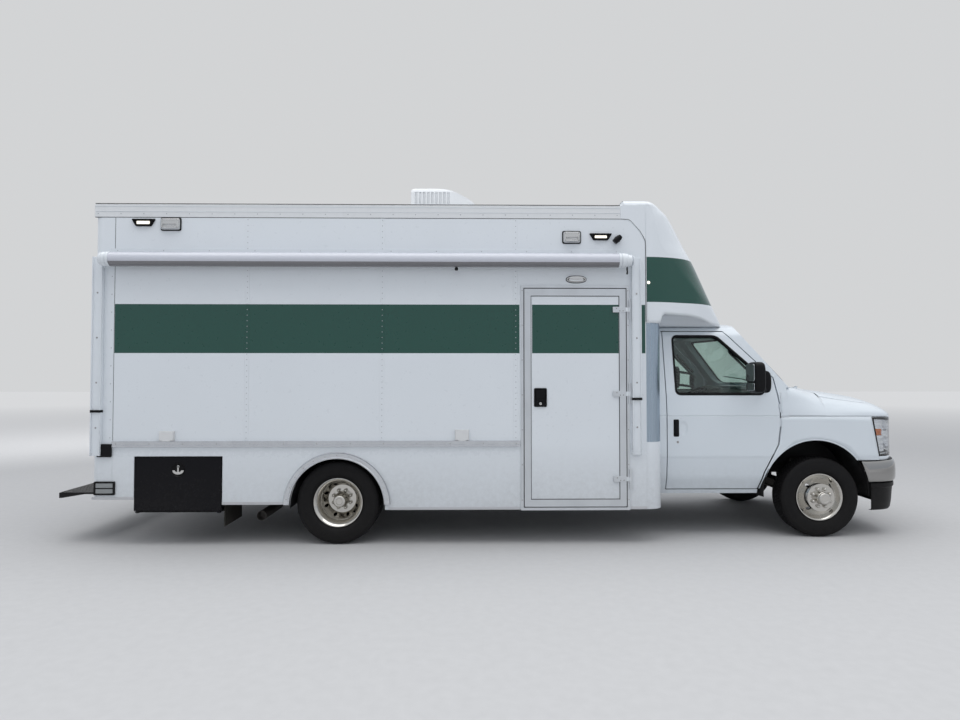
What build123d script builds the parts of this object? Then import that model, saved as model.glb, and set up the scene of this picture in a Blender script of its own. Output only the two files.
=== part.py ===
from build123d import *
import math
import os

# A box-bodied ambulance on a cutaway van chassis, in millimetres.
# +X is forward, +Y is the vehicle's left and +Z is up. The origin is on the ground,
# on the centre line, halfway along the whole length.

# Whole vehicle
front_overhang = 930
wheelbase = 4470
axle_to_box = 1539
box_length = 5111
step_reach = 380
overall_length = front_overhang + axle_to_box + box_length + step_reach
front_axle_x = overall_length / 2 - front_overhang
rear_axle_x = front_axle_x - wheelbase
box_front_x = front_axle_x - axle_to_box
box_rear_x = box_front_x - box_length

# Clearances
seat_gap = 0.3
door_gap = 8
hinge_side_gap = 12

# Wheels and tyres
tyre_radius = 372
tyre_width = 225
bead_radius = 206
tyre_sides = 40
front_wheel_y = 881
kingpin_y = 800
rear_twin_y = 952
twin_spacing = 262
spindle_radius = 40
stub_radius = 45
front_disc_offset = 118
hub_inner = -12
hub_cap_reach = 196
disc_sheet = 14
hand_hole_radius = 17
hand_hole_circle = 148
drum_radius = 168

# Ladder frame
rail_outer_y = 432
rail_flange = 70
rail_height = 170
rail_wall = 10
rail_top_z = 700
rail_front = 760
rail_rear = 90

# Engine and gearbox
engine_rear = -620
engine_front = 330
engine_half = 225
engine_z = 600
gearbox_rear = -1500

# Box body
box_half_width = 1219
wall = 50
floor_top_z = 850
floor_thickness = 60
roof_z = 3060
roof_thickness = 50
rail_drop = 124
skirt_top_z = 905
skirt_wall = 30
post_length = 154
front_return = 110
rear_post_length = 186
rear_return = 60
skirt_rear_z = 413
skirt_mid_z = 365
skirt_front_z = 315
arch_radius = 422
flare_width = 49
flare_proud = 24
arch_centre_z = 350

# Entry door, measured back from the box's front face
door_front = 308
door_width = 981
door_frame_z = 308
door_frame_height = 2021
frame_strip = 24
frame_proud = 8
frame_depth = 77
leaf_thickness = 45
strap_heights = (566, 1329, 2088)

# Rear doors
rear_door_half = 620
rear_door_z = 870
rear_door_height = 1780
rear_window_z = 1850

# Toolbox, measured forward from the box's rear face
toolbox_start = 385
toolbox_length = 771
toolbox_z = 298
toolbox_height = 492
toolbox_depth = 530
toolbox_wall = 15
lid_thickness = 40
lid_proud = 6

# Cab
cab_half_width = 1007
cab_back = axle_to_box - seat_gap
cab_wall = 70
cab_floor_z = 745
cab_step_z = 480
belt_z = 1400
cab_roof_z = 2045
screen_rake = 0.91
screen_side = -340
screen_middle = -60
hood_rear = 70
hood_side_y = 850
hood_cut_z = 1145
sheet = 25
glass = 6
front_arch_radius = 497
front_arch_x = -41
front_arch_z = 415
lip_width = 16

# Nose cap
cap_leg_z = 1989
cap_rear = axle_to_box + post_length
cap_lip = 200
cap_wall = 30


def block(x0, x1, y0, y1, z0, z1):
    """A box between two opposite corners."""
    centre = Pos((x0 + x1) / 2, (y0 + y1) / 2, (z0 + z1) / 2)
    return centre * Box(abs(x1 - x0), abs(y1 - y0), abs(z1 - z0))


def outline(points, radius=0):
    """A flat face inside a closed line, its corners rounded by one radius or a list."""
    if radius == 0:
        return make_face(Polyline(*points, close=True))
    return make_face(FilletPolyline(*points, radius=radius, close=True))


def side_view(points, y0, y1, radius=0):
    """An outline drawn in X and Z, as thick as y0 to y1."""
    return extrude(Plane.XZ.offset(-y1) * outline(points, radius), amount=y1 - y0)


def end_view(points, x0, x1, radius=0):
    """An outline drawn in Y and Z, as long as x0 to x1."""
    return extrude(Plane.YZ.offset(x0) * outline(points, radius), amount=x1 - x0)


def plan_view(points, z0, z1, radius=0):
    """An outline drawn in X and Y, as high as z0 to z1."""
    return extrude(Plane.XY.offset(z0) * outline(points, radius), amount=z1 - z0)


def both_ways(points):
    """The points and their mirror images, once round."""
    return points + [(-y, z) for y, z in reversed(points)]


def rod(axis, centre, radius, length):
    """A cylinder along X, Y or Z, centred on a point."""
    turn = {"X": Rot(0, 90, 0), "Y": Rot(90, 0, 0), "Z": Rot(0, 0, 0)}[axis]
    return Pos(*centre) * turn * Cylinder(radius, length)


def turned(points):
    """A ring about the Y axis from points given as (distance along Y, radius)."""
    return revolve(Plane.YZ * outline(points), axis=Axis.Y)


def other_side(solid):
    """The same piece on the vehicle's other side."""
    return mirror(solid, about=Plane.XZ)


nodes = {}


def keep(name, *solids):
    """Store the solids of one named piece."""
    nodes[name] = list(solids)


def at_front(x):
    """A place measured forward from the front axle."""
    return front_axle_x + x


# Wheels. Each is drawn for the left side, outboard towards +Y, about its own centre.

def rim(offset):
    """A rolled rim with two flanges and a drop centre, its middle at offset."""
    # distance from the middle, radius
    half = [(35, 184), (45, 203), (76, 205), (80, 221), (87, 221), (87, 213), (72, 196), (42, 176)]
    profile = half + [(-s, r) for s, r in reversed(half)]
    return turned([(offset + s, r) for s, r in profile])


def flats(points, sides):
    """A ring about the Y axis with flat sides, lowest side level, from (distance, radius)."""
    reach = 1 / math.cos(math.pi / sides)
    rings = []
    for s, r in points:
        corners = [(r * reach * math.sin(math.pi * (2 * k + 1) / sides), s,
                    -r * reach * math.cos(math.pi * (2 * k + 1) / sides)) for k in range(sides)]
        rings.append(corners)
    faces = []
    for first, second in zip(rings, rings[1:] + rings[:1]):
        for k in range(sides):
            m = (k + 1) % sides
            faces.append(make_face(Polyline(first[k], second[k], second[m], first[m], close=True)))
    return Solid(Shell(faces))


def tyre(offset):
    """A tyre whose beads sit between the rim's flanges."""
    half = tyre_width / 2
    right = [(75.5, bead_radius), (79.4, 221.6), (half, 268), (half - 3, 325), (84, 364),
             (58, tyre_radius)]
    profile = right + [(-s, r) for s, r in reversed(right)]
    return flats([(offset + s, r) for s, r in profile], tyre_sides)


def front_wheel():
    """Rim, coned disc with hand holes, hub round the spindle and a long cap."""
    bore = spindle_radius + seat_gap
    disc = turned([(24, 178), (40, 178), (front_disc_offset, 128), (front_disc_offset, 55),
                   (front_disc_offset - 12, 55), (front_disc_offset - 12, 121), (24, 170)])
    back = front_disc_offset - disc_sheet
    hub = turned([(hub_inner, bore), (hub_inner, 70), (10, 70), (front_disc_offset, 62),
                  (hub_cap_reach - 10, 56), (hub_cap_reach, 40), (hub_cap_reach, 0), (back, 0),
                  (back, bore)])
    wheel = rim(0) + disc + hub
    for turn in range(4):
        angle = math.radians(45 + 90 * turn)
        spot = (hand_hole_circle * math.cos(angle), 70, hand_hole_circle * math.sin(angle))
        wheel -= rod("Y", spot, hand_hole_radius, 120)
    return wheel


def rear_wheels():
    """Two rims bolted disc to disc, with the hub, its cap and the brake drum."""
    bore = stub_radius + seat_gap
    half = twin_spacing / 2
    wheel = rim(half) + rim(-half)
    for side in (1, -1):
        cone = [(half - 36, 178), (half - 20, 178), (20, 128), (20, 55), (0, 55), (0, 122), (8, 126)]
        wheel += turned([(side * s, r) for s, r in cone])
    wheel += turned([(-190, bore), (-190, 75), (0, 70), (70, 62), (120, 56), (130, 40), (130, 0),
                     (50, 0), (50, bore)])
    lining = drum_radius - 10
    wheel += turned([(-214, lining), (-214, drum_radius), (-100, drum_radius), (-92, drum_radius - 8),
                     (-92, 70), (-104, 70), (-104, lining)])
    for turn in range(8):
        angle = math.radians(22.5 + 45 * turn)
        spot = (hand_hole_circle * math.cos(angle), 0, hand_hole_circle * math.sin(angle))
        wheel -= rod("Y", spot, hand_hole_radius - 2, 170)
    return wheel


front_place = Pos(front_axle_x, front_wheel_y, tyre_radius)
rear_place = Pos(rear_axle_x, rear_twin_y, tyre_radius)
front_left_wheel = front_place * front_wheel()
front_left_tyre = front_place * tyre(0)
rear_left_wheel = rear_place * rear_wheels()
rear_left_tyres = [rear_place * tyre(twin_spacing / 2), rear_place * tyre(-twin_spacing / 2)]
keep("front_wheel_left", front_left_wheel)
keep("front_wheel_right", other_side(front_left_wheel))
keep("front_tyre_left", front_left_tyre)
keep("front_tyre_right", other_side(front_left_tyre))
keep("rear_wheel_left", rear_left_wheel)
keep("rear_wheel_right", other_side(rear_left_wheel))
keep("rear_tyres_left", *rear_left_tyres)
keep("rear_tyres_right", *[other_side(ring) for ring in rear_left_tyres])

# Front axle: two crossing beams, each with a kingpin eye, and a forked knuckle on each.
eye_radius = 36
eye_height = 90
beam_width = 60
beam_half_height = 45
beam_offset = 45
pivot_y = 150
pivot_radius = 50


def axle_beam(side):
    """An I-section beam from its frame pivot to the kingpin eye on the given side."""
    x = front_axle_x + side * beam_offset
    z = tyre_radius
    half = beam_width / 2
    beam = block(x - half, x + half, -side * pivot_y, side * (kingpin_y - 70),
                 z - beam_half_height, z + beam_half_height)
    for face in (-1, 1):
        beam -= block(x + face * half, x + face * (half - 22), -side * 90, side * (kingpin_y - 100),
                      z - 30, z + 30)
    beam += rod("X", (x, -side * pivot_y, z), pivot_radius, beam_width)
    foot = block(front_axle_x - side * 30, x + side * half, side * (kingpin_y - 110),
                 side * (kingpin_y - 20), z - 40, z + 40)
    eye = rod("Z", (front_axle_x, side * kingpin_y, z), eye_radius, eye_height)
    return beam + foot + eye


ear_thickness = 31


def knuckle():
    """The left knuckle: two ears round the kingpin eye, the spindle and a steering arm."""
    z = tyre_radius
    ear_z = z + eye_height / 2 + seat_gap
    body = block(front_axle_x - 40, front_axle_x + 40, kingpin_y + 40, kingpin_y + 62, z - 78, z + 78)
    for way in (1, -1):
        low = z + way * (eye_height / 2 + seat_gap)
        high = z + way * (eye_height / 2 + ear_thickness + seat_gap)
        body += block(front_axle_x - eye_radius, front_axle_x + eye_radius, kingpin_y, kingpin_y + 45,
                      min(low, high), max(low, high))
        body += rod("Z", (front_axle_x, kingpin_y, (low + high) / 2), eye_radius, ear_thickness)
    reach = front_wheel_y + front_disc_offset - 17 - (kingpin_y + 55)
    body += rod("Y", (front_axle_x, kingpin_y + 55 + reach / 2, z), spindle_radius, reach)
    body += block(front_axle_x - 150, front_axle_x - 30, kingpin_y - 60, kingpin_y - 30,
                  ear_z, ear_z + 25)
    body += block(front_axle_x - 60, front_axle_x - 30, kingpin_y - 60, kingpin_y + 40,
                  ear_z, ear_z + 25)
    return body


left_knuckle = knuckle()
keep("knuckle_left", left_knuckle)
keep("knuckle_right", other_side(left_knuckle))
keep("front_axle_beams", axle_beam(1), axle_beam(-1))

# Rear axle with its banjo housing, stubs in the hubs, and the drive shaft ahead of it.
axle_tube = 58
banjo_radius = 180
stub_past_middle = 48
drum_inner_y = rear_twin_y - 190
housing = rod("Y", (rear_axle_x, 0, tyre_radius), axle_tube, 2 * (drum_inner_y - 4))
housing += Pos(rear_axle_x, 0, tyre_radius) * Sphere(banjo_radius)
stub_length = rear_twin_y + stub_past_middle - drum_inner_y + 10
for side in (1, -1):
    middle = side * (rear_twin_y + stub_past_middle - stub_length / 2)
    housing += rod("Y", (rear_axle_x, middle, tyre_radius), stub_radius, stub_length)
gearbox_x = at_front(gearbox_rear)
shaft_z = 490
shaft_start = rear_axle_x + banjo_radius - 30
shaft_radius = 45
shaft_drop = math.atan2(shaft_z - tyre_radius, gearbox_x - shaft_start)
shaft_length = math.hypot(gearbox_x - shaft_start, shaft_z - tyre_radius)
shaft = Pos((gearbox_x + shaft_start) / 2, 0, (shaft_z + tyre_radius) / 2) * Rot(
    0, 90 - math.degrees(shaft_drop), 0) * Cylinder(shaft_radius, shaft_length)
shaft -= block(gearbox_x - seat_gap, gearbox_x + 100, -100, 100, shaft_z - 100, shaft_z + 100)
keep("rear_axle", housing + shaft)

# Springs: coils over the front beams and leaf packs over the rear axle.
spring_z0 = tyre_radius + beam_half_height + seat_gap
spring_y = 560
spring_inner = 52
spring_outer = 62
springs = []
for side in (1, -1):
    x = front_axle_x + side * beam_offset
    coil = [(0, 0)]
    turns = 5
    pitch = (rail_top_z - 60 - spring_z0) / turns
    for turn in range(turns):
        coil += [(spring_inner, turn * pitch), (spring_outer, (turn + 0.5) * pitch)]
    coil += [(spring_inner, turns * pitch), (0, turns * pitch)]
    spring = revolve(Plane.XZ * outline(coil), axis=Axis.Z)
    springs.append(Pos(x, side * spring_y, spring_z0) * spring)
leaf_y = 560
leaf_half_width = 38
leaf_half = 650
leaf_eye_z = 580
leaf_seat_z = tyre_radius + axle_tube + seat_gap
for side in (1, -1):
    leaves = side_view([(rear_axle_x - leaf_half, leaf_eye_z - 20), (rear_axle_x - 300, 480),
                        (rear_axle_x - 120, leaf_seat_z), (rear_axle_x + 120, leaf_seat_z),
                        (rear_axle_x + 300, 480), (rear_axle_x + leaf_half, leaf_eye_z - 20),
                        (rear_axle_x + leaf_half, leaf_eye_z), (rear_axle_x + 120, 500),
                        (rear_axle_x - 120, 500), (rear_axle_x - leaf_half, leaf_eye_z)],
                       side * leaf_y - leaf_half_width, side * leaf_y + leaf_half_width)
    springs.append(leaves)
keep("suspension_springs", *springs)

# Ladder frame: two channel rails open inwards, with cross members and front spring towers.
rail_front_x = at_front(rail_front)
rail_rear_x = box_rear_x + rail_rear
rail_low_z = rail_top_z - rail_height


def rail(side):
    """One channel rail, its web outside and its flanges inwards."""
    outer = side * rail_outer_y
    web = side * (rail_outer_y - rail_wall)
    tip = side * (rail_outer_y - rail_flange)
    low = rail_low_z
    high = rail_top_z
    points = [(outer, low), (outer, high), (tip, high), (tip, high - rail_wall),
              (web, high - rail_wall), (web, low + rail_wall), (tip, low + rail_wall), (tip, low)]
    return end_view(points, rail_rear_x, rail_front_x)


frame = rail(1) + rail(-1)
cross_places = [rail_front_x - 60, at_front(-1300), at_front(-1900), at_front(-3100),
                rear_axle_x + 700, rear_axle_x - 700, rail_rear_x + 60]
for x in cross_places:
    inner = rail_outer_y - rail_wall
    frame += block(x - 35, x + 35, -inner, inner, rail_low_z + rail_wall, rail_low_z + 120)
for side in (1, -1):
    x = front_axle_x + side * beam_offset
    tower = block(x - 75, x + 75, side * rail_outer_y, side * (spring_y + 80), rail_top_z - 60,
                  rail_top_z)
    frame += tower
    hanger_y = -side * pivot_y
    for face in (-1, 1):
        edge = x + face * (beam_width / 2 + seat_gap)
        frame += block(edge, edge + face * 14, hanger_y - 40, hanger_y + 40, tyre_radius - 30,
                       rail_low_z + rail_wall + 20)
frame += block(front_axle_x - 140, front_axle_x + 140, -rail_outer_y + rail_wall,
               rail_outer_y - rail_wall, rail_low_z + 10, engine_z - seat_gap)
for side in (1, -1):
    for x in (rear_axle_x - leaf_half, rear_axle_x + leaf_half):
        frame += block(x - 30, x + 30, side * rail_outer_y, side * (leaf_y + leaf_half_width),
                       leaf_eye_z + seat_gap, leaf_eye_z + 60)
keep("ladder_frame", frame)

# Engine, fuel tank and exhaust
engine_top_z = 1100
bell_rear = -760
bell_half = 170
gearbox_half = 120
gearbox_low_z = 430
engine = block(at_front(engine_rear), at_front(engine_front), -engine_half, engine_half, engine_z,
               engine_top_z)
engine += block(at_front(bell_rear), at_front(engine_rear), -bell_half, bell_half, gearbox_low_z, 880)
engine += block(at_front(gearbox_rear), at_front(bell_rear), -gearbox_half, gearbox_half, gearbox_low_z,
                rail_low_z + rail_wall - seat_gap)
keep("engine_block", engine)
exhaust_y = -290
exhaust_z = 425
pipe_radius = 43
tip_x = rear_axle_x - 690
tip_y = -1150
over_axle_z = tyre_radius + axle_tube + pipe_radius + 14
tip_z = 252
low_bend_z = 440
muffler_x = -2500
muffler_radius = 100
muffler_length = 700
tank_x0 = box_rear_x + 420
tank_x1 = tip_x - pipe_radius - 167
tank_half = 430
tank_low_z = 340
tank = block(tank_x0, tank_x1, -tank_half, tank_half, tank_low_z, rail_low_z - seat_gap)
keep("fuel_tank", fillet(tank.edges().filter_by(Axis.X), 60))
pipe_path = FilletPolyline((at_front(-900), exhaust_y, exhaust_z),
                           (rear_axle_x + 600, exhaust_y, exhaust_z),
                           (rear_axle_x + 250, exhaust_y, over_axle_z),
                           (rear_axle_x - 300, exhaust_y, over_axle_z),
                           (tip_x, exhaust_y, low_bend_z), (tip_x, -600, tip_z), (tip_x, tip_y, tip_z),
                           radius=90)
pipe = sweep(Plane(pipe_path @ 0, z_dir=pipe_path % 0) * Circle(pipe_radius), path=pipe_path)
pipe += rod("X", (at_front(muffler_x), exhaust_y, exhaust_z), muffler_radius, muffler_length)
cross_low_z = rail_low_z + rail_wall
for x, low in ((at_front(-1900), exhaust_z), (rear_axle_x - 700, low_bend_z - 10)):
    pipe += block(x - 12, x + 12, exhaust_y - 20, exhaust_y + 20, low, cross_low_z - seat_gap)
pipe -= rod("Y", (tip_x, tip_y + 40, tip_z), pipe_radius - 3, 80)
keep("exhaust_pipe", pipe)

# Front end: one form for hood, fenders and nose, cut into its panels.
# y or x, height or y, corner radius
nose_section = [(940, 430, 0), (985, 560, 200), (cab_half_width, 760, 300), (cab_half_width, 1125, 40),
                (930, 1262, 110), (760, 1352, 260), (430, 1392, 700), (150, 1402, 0)]
nose_plan = [(-900, cab_half_width + 3, 0), (380, cab_half_width + 3, 700), (660, 950, 240),
             (800, 790, 240), (880, 480, 600), (905, 120, 0)]
nose_profile = [(-900, 430, 0), (-900, 1402, 0), (30, 1402, 200), (130, 1380, 400), (450, 1340, 900),
                (720, 1290, 400), (850, 1210, 120), (900, 1060, 200), (908, 720, 0), (908, 430, 0)]


def mirrored(table):
    """A table of (across, along, corner radius) and its mirror image, once round."""
    return table + [(-y, z, r) for y, z, r in reversed(table)]


def rounded(table):
    """A flat face inside a closed line of (across, along, corner radius)."""
    return outline([(a, b) for a, b, r in table], [r for a, b, r in table])


def front_form(inset):
    """The outer body ahead of the windscreen, shrunk by inset on every side."""
    plan_face = rounded([(x, y, r) for x, y, r in nose_plan]
                        + [(x, -y, r) for x, y, r in reversed(nose_plan)])
    section_face = rounded(mirrored(nose_section))
    profile = rounded(nose_profile)
    if inset:
        plan_face = offset(plan_face, amount=-inset, kind=Kind.INTERSECTION)
        section_face = offset(section_face, amount=-inset, kind=Kind.INTERSECTION)
        profile = offset(profile, amount=-inset, kind=Kind.INTERSECTION)
    place = Pos(front_axle_x, 0, 0)
    plan_body = extrude(Plane.XY.offset(400) * (place * plan_face), amount=1100)
    section_body = extrude(Plane.YZ.offset(at_front(-900)) * section_face, amount=1900)
    profile_body = place * extrude(Plane.XZ.offset(-1100) * profile, amount=2200)
    return plan_body & section_body & profile_body


shell = front_form(0) - front_form(sheet)
cut_x = at_front(hood_rear)
hood_zone = block(cut_x, at_front(1000), -hood_side_y, hood_side_y, hood_cut_z, 1500)
hood = shell & hood_zone
hood_hinge_x = cut_x - 4
hood_hinge_z = 1401
hood_knuckle = 7
cowl_hinges = []
for y in (-400, 400):
    hood += rod("Y", (hood_hinge_x, y + 20 + seat_gap / 2, hood_hinge_z), hood_knuckle, 40 - seat_gap)
    hood += block(hood_hinge_x, hood_hinge_x + 50, y + seat_gap, y + 40, 1378, 1398)
    cowl_hinges.append(rod("Y", (hood_hinge_x, y - 20, hood_hinge_z), hood_knuckle, 40))
    cowl_hinges.append(block(hood_hinge_x - 30, hood_hinge_x, y - 40, y, 1380, 1398))
keep("hood", *hood.solids())
door_front_line = [(-856, 1935), (-423, 1494), (-382, 1244), (-382, 1032), (-403, 868), (-461, 756),
                   (-533, 606), (-578, 450)]
cowl_rear = -300
fender_edge = [(x + hinge_side_gap, z) for x, z in door_front_line[2:]]
fender_zone = side_view([(at_front(x), z) for x, z in fender_edge] + [(at_front(-566), 430),
                        (at_front(950), 430), (at_front(950), 1410), (at_front(-290), 1410),
                        (at_front(-290), 1300)],
                        -1100, 1100)
fender = shell & fender_zone
fender -= block(cut_x - door_gap, at_front(1000), -hood_side_y - door_gap, hood_side_y + door_gap,
                hood_cut_z - door_gap, 1500)
fender -= block(at_front(-900), cut_x - door_gap, -hood_side_y, hood_side_y, 400, 1500)
fender -= rod("Y", (at_front(front_arch_x), 0, front_arch_z), front_arch_radius, 2400)
fender -= block(at_front(front_arch_x - 480), at_front(front_arch_x + 480), -1100, 1100, 400,
                front_arch_z)
bumper_low_z = 508
bumper_high_z = 716
fender -= block(at_front(380), at_front(1000), -1100, 1100, 400, bumper_high_z + 4)
fender -= block(at_front(300), at_front(1000), -900, 900, 400, bumper_high_z + 4)
grille_half = 520
lamp_low_z = 756
lamp_high_z = 1121
lamp_side = [(510, lamp_high_z), (585, lamp_low_z), (950, lamp_low_z), (950, lamp_high_z)]
lamp_zone = side_view([(at_front(x), z) for x, z in lamp_side], -1100, 1100)
fender -= lamp_zone
arch_lip = rod("Y", (at_front(front_arch_x), 0, front_arch_z), front_arch_radius + lip_width, 2026)
arch_lip -= rod("Y", (at_front(front_arch_x), 0, front_arch_z), front_arch_radius, 2100)
arch_lip -= block(at_front(-900), at_front(900), -970, 970, -400, 1400)
arch_lip -= block(at_front(-900), at_front(900), -1100, 1100, -400, front_arch_z + 120)
arch_lip -= block(at_front(0), at_front(900), -1100, 1100, -400, bumper_high_z + 4)
fender += arch_lip
keep("front_fenders", *fender.solids())
lamp_shell = (front_form(2) - front_form(70)) & lamp_zone
grille_zone = block(at_front(600), at_front(1000), -grille_half, grille_half, 700, 1200)
lamps = lamp_shell - grille_zone
keep("headlamps", *lamps.solids())

# Grille: a frame with level bars and two uprights, set between the headlamps.
grille_frame = (front_form(4) - front_form(44)) & block(
    at_front(600), at_front(1000), -grille_half + seat_gap, grille_half - seat_gap,
    lamp_low_z + seat_gap, lamp_high_z - seat_gap)
bar_count = 4
bar_height = 26
window_height = (lamp_high_z - lamp_low_z - (bar_count + 1) * bar_height) / bar_count
for row in range(bar_count):
    low = lamp_low_z + bar_height + row * (window_height + bar_height)
    for left, right in ((-480, -250), (-224, -13), (13, 224), (250, 480)):
        grille_frame -= block(at_front(600), at_front(1000), left, right, low, low + window_height)
keep("grille", grille_frame)

# Bumper and the black valance below it
# x, y, corner radius
bumper_plan = [(700, 1004, 260), (850, 860, 260), (905, 620, 500), (front_overhang, 150, 0)]


def wrap(z0, z1, thickness, shrink, rear):
    """A bent strip that follows the bumper's plan, from its rear edge round the nose."""
    half = [(rear, bumper_plan[0][1] + 6, 0)] + bumper_plan
    both = half + [(x, -y, r) for x, y, r in reversed(half)]
    place = Pos(front_axle_x, 0, 0)
    outer = offset(rounded(both), amount=-shrink, kind=Kind.INTERSECTION)
    inner = offset(outer, amount=-thickness, kind=Kind.INTERSECTION)
    inner += Pos(rear + shrink + thickness, 0) * Rectangle(4 * thickness, 2 * (1010 - shrink - thickness))
    strip = extrude(Plane.XY.offset(z0) * (place * outer), amount=z1 - z0)
    return strip - extrude(Plane.XY.offset(z0 - 1) * (place * inner), amount=z1 - z0 + 2)


bumper = wrap(bumper_low_z, bumper_high_z, 45, 0, 430)
for side in (1, -1):
    bumper += block(rail_front_x + seat_gap, at_front(880), side * 380, side * 430, 560, 680)
keep("front_bumper", bumper)
keep("bumper_valance", wrap(240, bumper_low_z - seat_gap, 40, 30, 505))

# Cab
# y, z, corner radius
cab_section = [(925, 404, 0), (985, 560, 200), (cab_half_width, 760, 300), (cab_half_width, 1145, 60),
               (985, 1330, 400), (862, 1905, 120), (795, 1990, 90), (480, 2032, 400), (120, 2040, 0)]


def cab_form(inset):
    """The cab behind the windscreen, shrunk by inset on every side but the back."""
    section_face = rounded(mirrored(cab_section))
    side_in = screen_side - inset * 1.3
    middle_in = screen_middle - inset * 1.3
    width = 1100
    curve = ThreePointArc((side_in, -width), (middle_in, 0), (side_in, width))
    sides = Polyline((side_in, width), (-cab_back, width), (-cab_back, -width), (side_in, -width))
    screen_face = Pos(front_axle_x, 0, 0) * make_face(curve + sides)
    if inset:
        section_face = offset(section_face, amount=-inset, kind=Kind.INTERSECTION)
    rise = cab_roof_z + 60 - belt_z
    upper = extrude(Plane.XY.offset(belt_z) * screen_face, amount=math.hypot(rise, rise * screen_rake),
                    dir=(-screen_rake, 0, 1))
    lower = block(at_front(-cab_back - 10), at_front(-300 - inset), -1100, 1100, 300, belt_z)
    section_body = extrude(Plane.YZ.offset(at_front(-cab_back)) * section_face, amount=cab_back + 100)
    return section_body & (upper + lower)


door_rear = -1440
door_top = 1935
door_points = [(door_rear, 450), (door_rear, door_top)] + door_front_line
window_points = [(-1345, 1340), (-1345, 1890), (-930, 1890), (-520, 1500), (-520, 1340)]
window_round = 28
cab_outer = cab_form(0)
cab_inner = cab_form(cab_wall)
door_gap_points = [(door_rear - door_gap, 450 - door_gap), (door_rear - door_gap, door_top + door_gap),
                   (-856 + door_gap / 2, door_top + door_gap)]
door_gap_points += [(x + hinge_side_gap, z) for x, z in door_front_line[1:-1]]
door_gap_points += [(-566, 450 - door_gap)]


def placed(points):
    """Side-view points moved from the front axle to the vehicle's origin."""
    return [(at_front(x), z) for x, z in points]


screen_opening = both_ways([(800, belt_z + 25), (690, 1915)])
room = block(at_front(-cab_back - 10), at_front(200), -1100, 1100, cab_floor_z, 2100)
for side in (1, -1):
    room += block(at_front(-1400), at_front(-600), side * 760, side * 1100, cab_step_z, cab_floor_z)
cab = cab_outer - (cab_inner & room)
cab -= block(at_front(-1600), at_front(200), -735, 735, 300, cab_floor_z - 40)
door_opening = side_view(placed(door_gap_points), 745, 1100)
cab -= door_opening
cab -= other_side(door_opening)
cab -= end_view(screen_opening, at_front(-1000), at_front(300), radius=60)
cab -= rod("Y", (at_front(front_arch_x), 0, front_arch_z), front_arch_radius + 35, 2400)
cab -= block(at_front(-780), at_front(200), -engine_half - 25, engine_half + 25, 300, 1120)
cab -= (front_form(-1) - front_form(sheet + seat_gap)) & fender_zone
cowl = (front_form(0) - front_form(sheet)) & block(at_front(cowl_rear) - 5, cut_x - door_gap,
                                                    -hood_side_y, hood_side_y, 1150, 1420)
cab += cowl
for piece in cowl_hinges:
    cab += piece
# hinge posts for the doors
door_hinge_x = at_front(-376)
door_hinge_y = cab_half_width - 2
door_hinge_zs = (1075, 1210)
door_knuckle = 6
door_knuckles = []
for z in door_hinge_zs:
    door_knuckles.append(rod("Z", (door_hinge_x, -door_hinge_y, z + 20 + seat_gap / 2), door_knuckle,
                             40 - seat_gap))
    door_knuckles.append(block(door_hinge_x - 12, door_hinge_x - 2, -door_hinge_y, -door_hinge_y + 30,
                               z + seat_gap, z + 40))
    for side in (1, -1):
        cab += rod("Z", (door_hinge_x, side * door_hinge_y, z - 20), door_knuckle, 40)
        cab += block(door_hinge_x - 2, door_hinge_x + 2, side * door_hinge_y, side * 940, z - 40, z)
        cab += block(door_hinge_x - 2, door_hinge_x + 6, side * 975, side * 900, z - 40, z)
keep("cab_shell", *cab.solids())
screen_shell = cab_form(4) - cab_form(4 + 2 * glass)
keep("windscreen", *(screen_shell & end_view(both_ways([(799.5, belt_z + 25.5), (689.5, 1914.5)]),
                                             at_front(-1000), at_front(300), radius=60)).solids())

# Cab doors: cut from the same walls, with a window opening and its glass.
door_shell = cab_outer - cab_form(cab_wall)
door_cut = side_view(placed(door_points), -1100, -400)
door_cut = door_cut & end_view([(-1100, 430), (-905, 430), (-905, 1330), (-780, 1940), (-1100, 1940)],
                               at_front(-1500), at_front(-300))
window_cut = side_view(placed(window_points), -1100, -400, radius=window_round)
right_door = (door_shell & door_cut) - window_cut
for piece in door_knuckles:
    right_door += piece
pane_points = [(-1344.6, 1340.4), (-1344.6, 1889.6), (-930.2, 1889.6), (-520.4, 1499.8),
               (-520.4, 1340.4)]
pane = (cab_form(30) - cab_form(30 + glass)) & side_view(placed(pane_points), -1100, -400,
                                                         radius=window_round)
keep("cab_door_right", right_door)
keep("cab_door_left", other_side(right_door))
keep("door_glass_right", pane)
keep("door_glass_left", other_side(pane))

# Mirrors: a two-part head on two arms from the door's front corner.
mirror_outer_y = 1310
head = Part()
for low, high in ((1354, 1440), (1446, 1638)):
    lobe = block(at_front(-743), at_front(-631), -mirror_outer_y, -1090, low, high)
    lobe = fillet(lobe.edges().filter_by(Axis.X), 28)
    head += fillet(lobe.faces().sort_by(Axis.X)[-1].edges(), 22)
head += block(at_front(-720), at_front(-660), -mirror_outer_y + 50, -1120, 1420, 1470)
arm = plan_view(placed([(-700, -1110), (-650, -1110), (-505, -900), (-555, -900)]), 1530, 1555)
arm += plan_view(placed([(-700, -1110), (-650, -1110), (-440, -930), (-490, -930)]), 1370, 1395)
right_mirror = head + arm - cab_form(-seat_gap)
keep("mirror_right", *right_mirror.solids())
keep("mirror_left", *other_side(right_mirror).solids())

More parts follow.
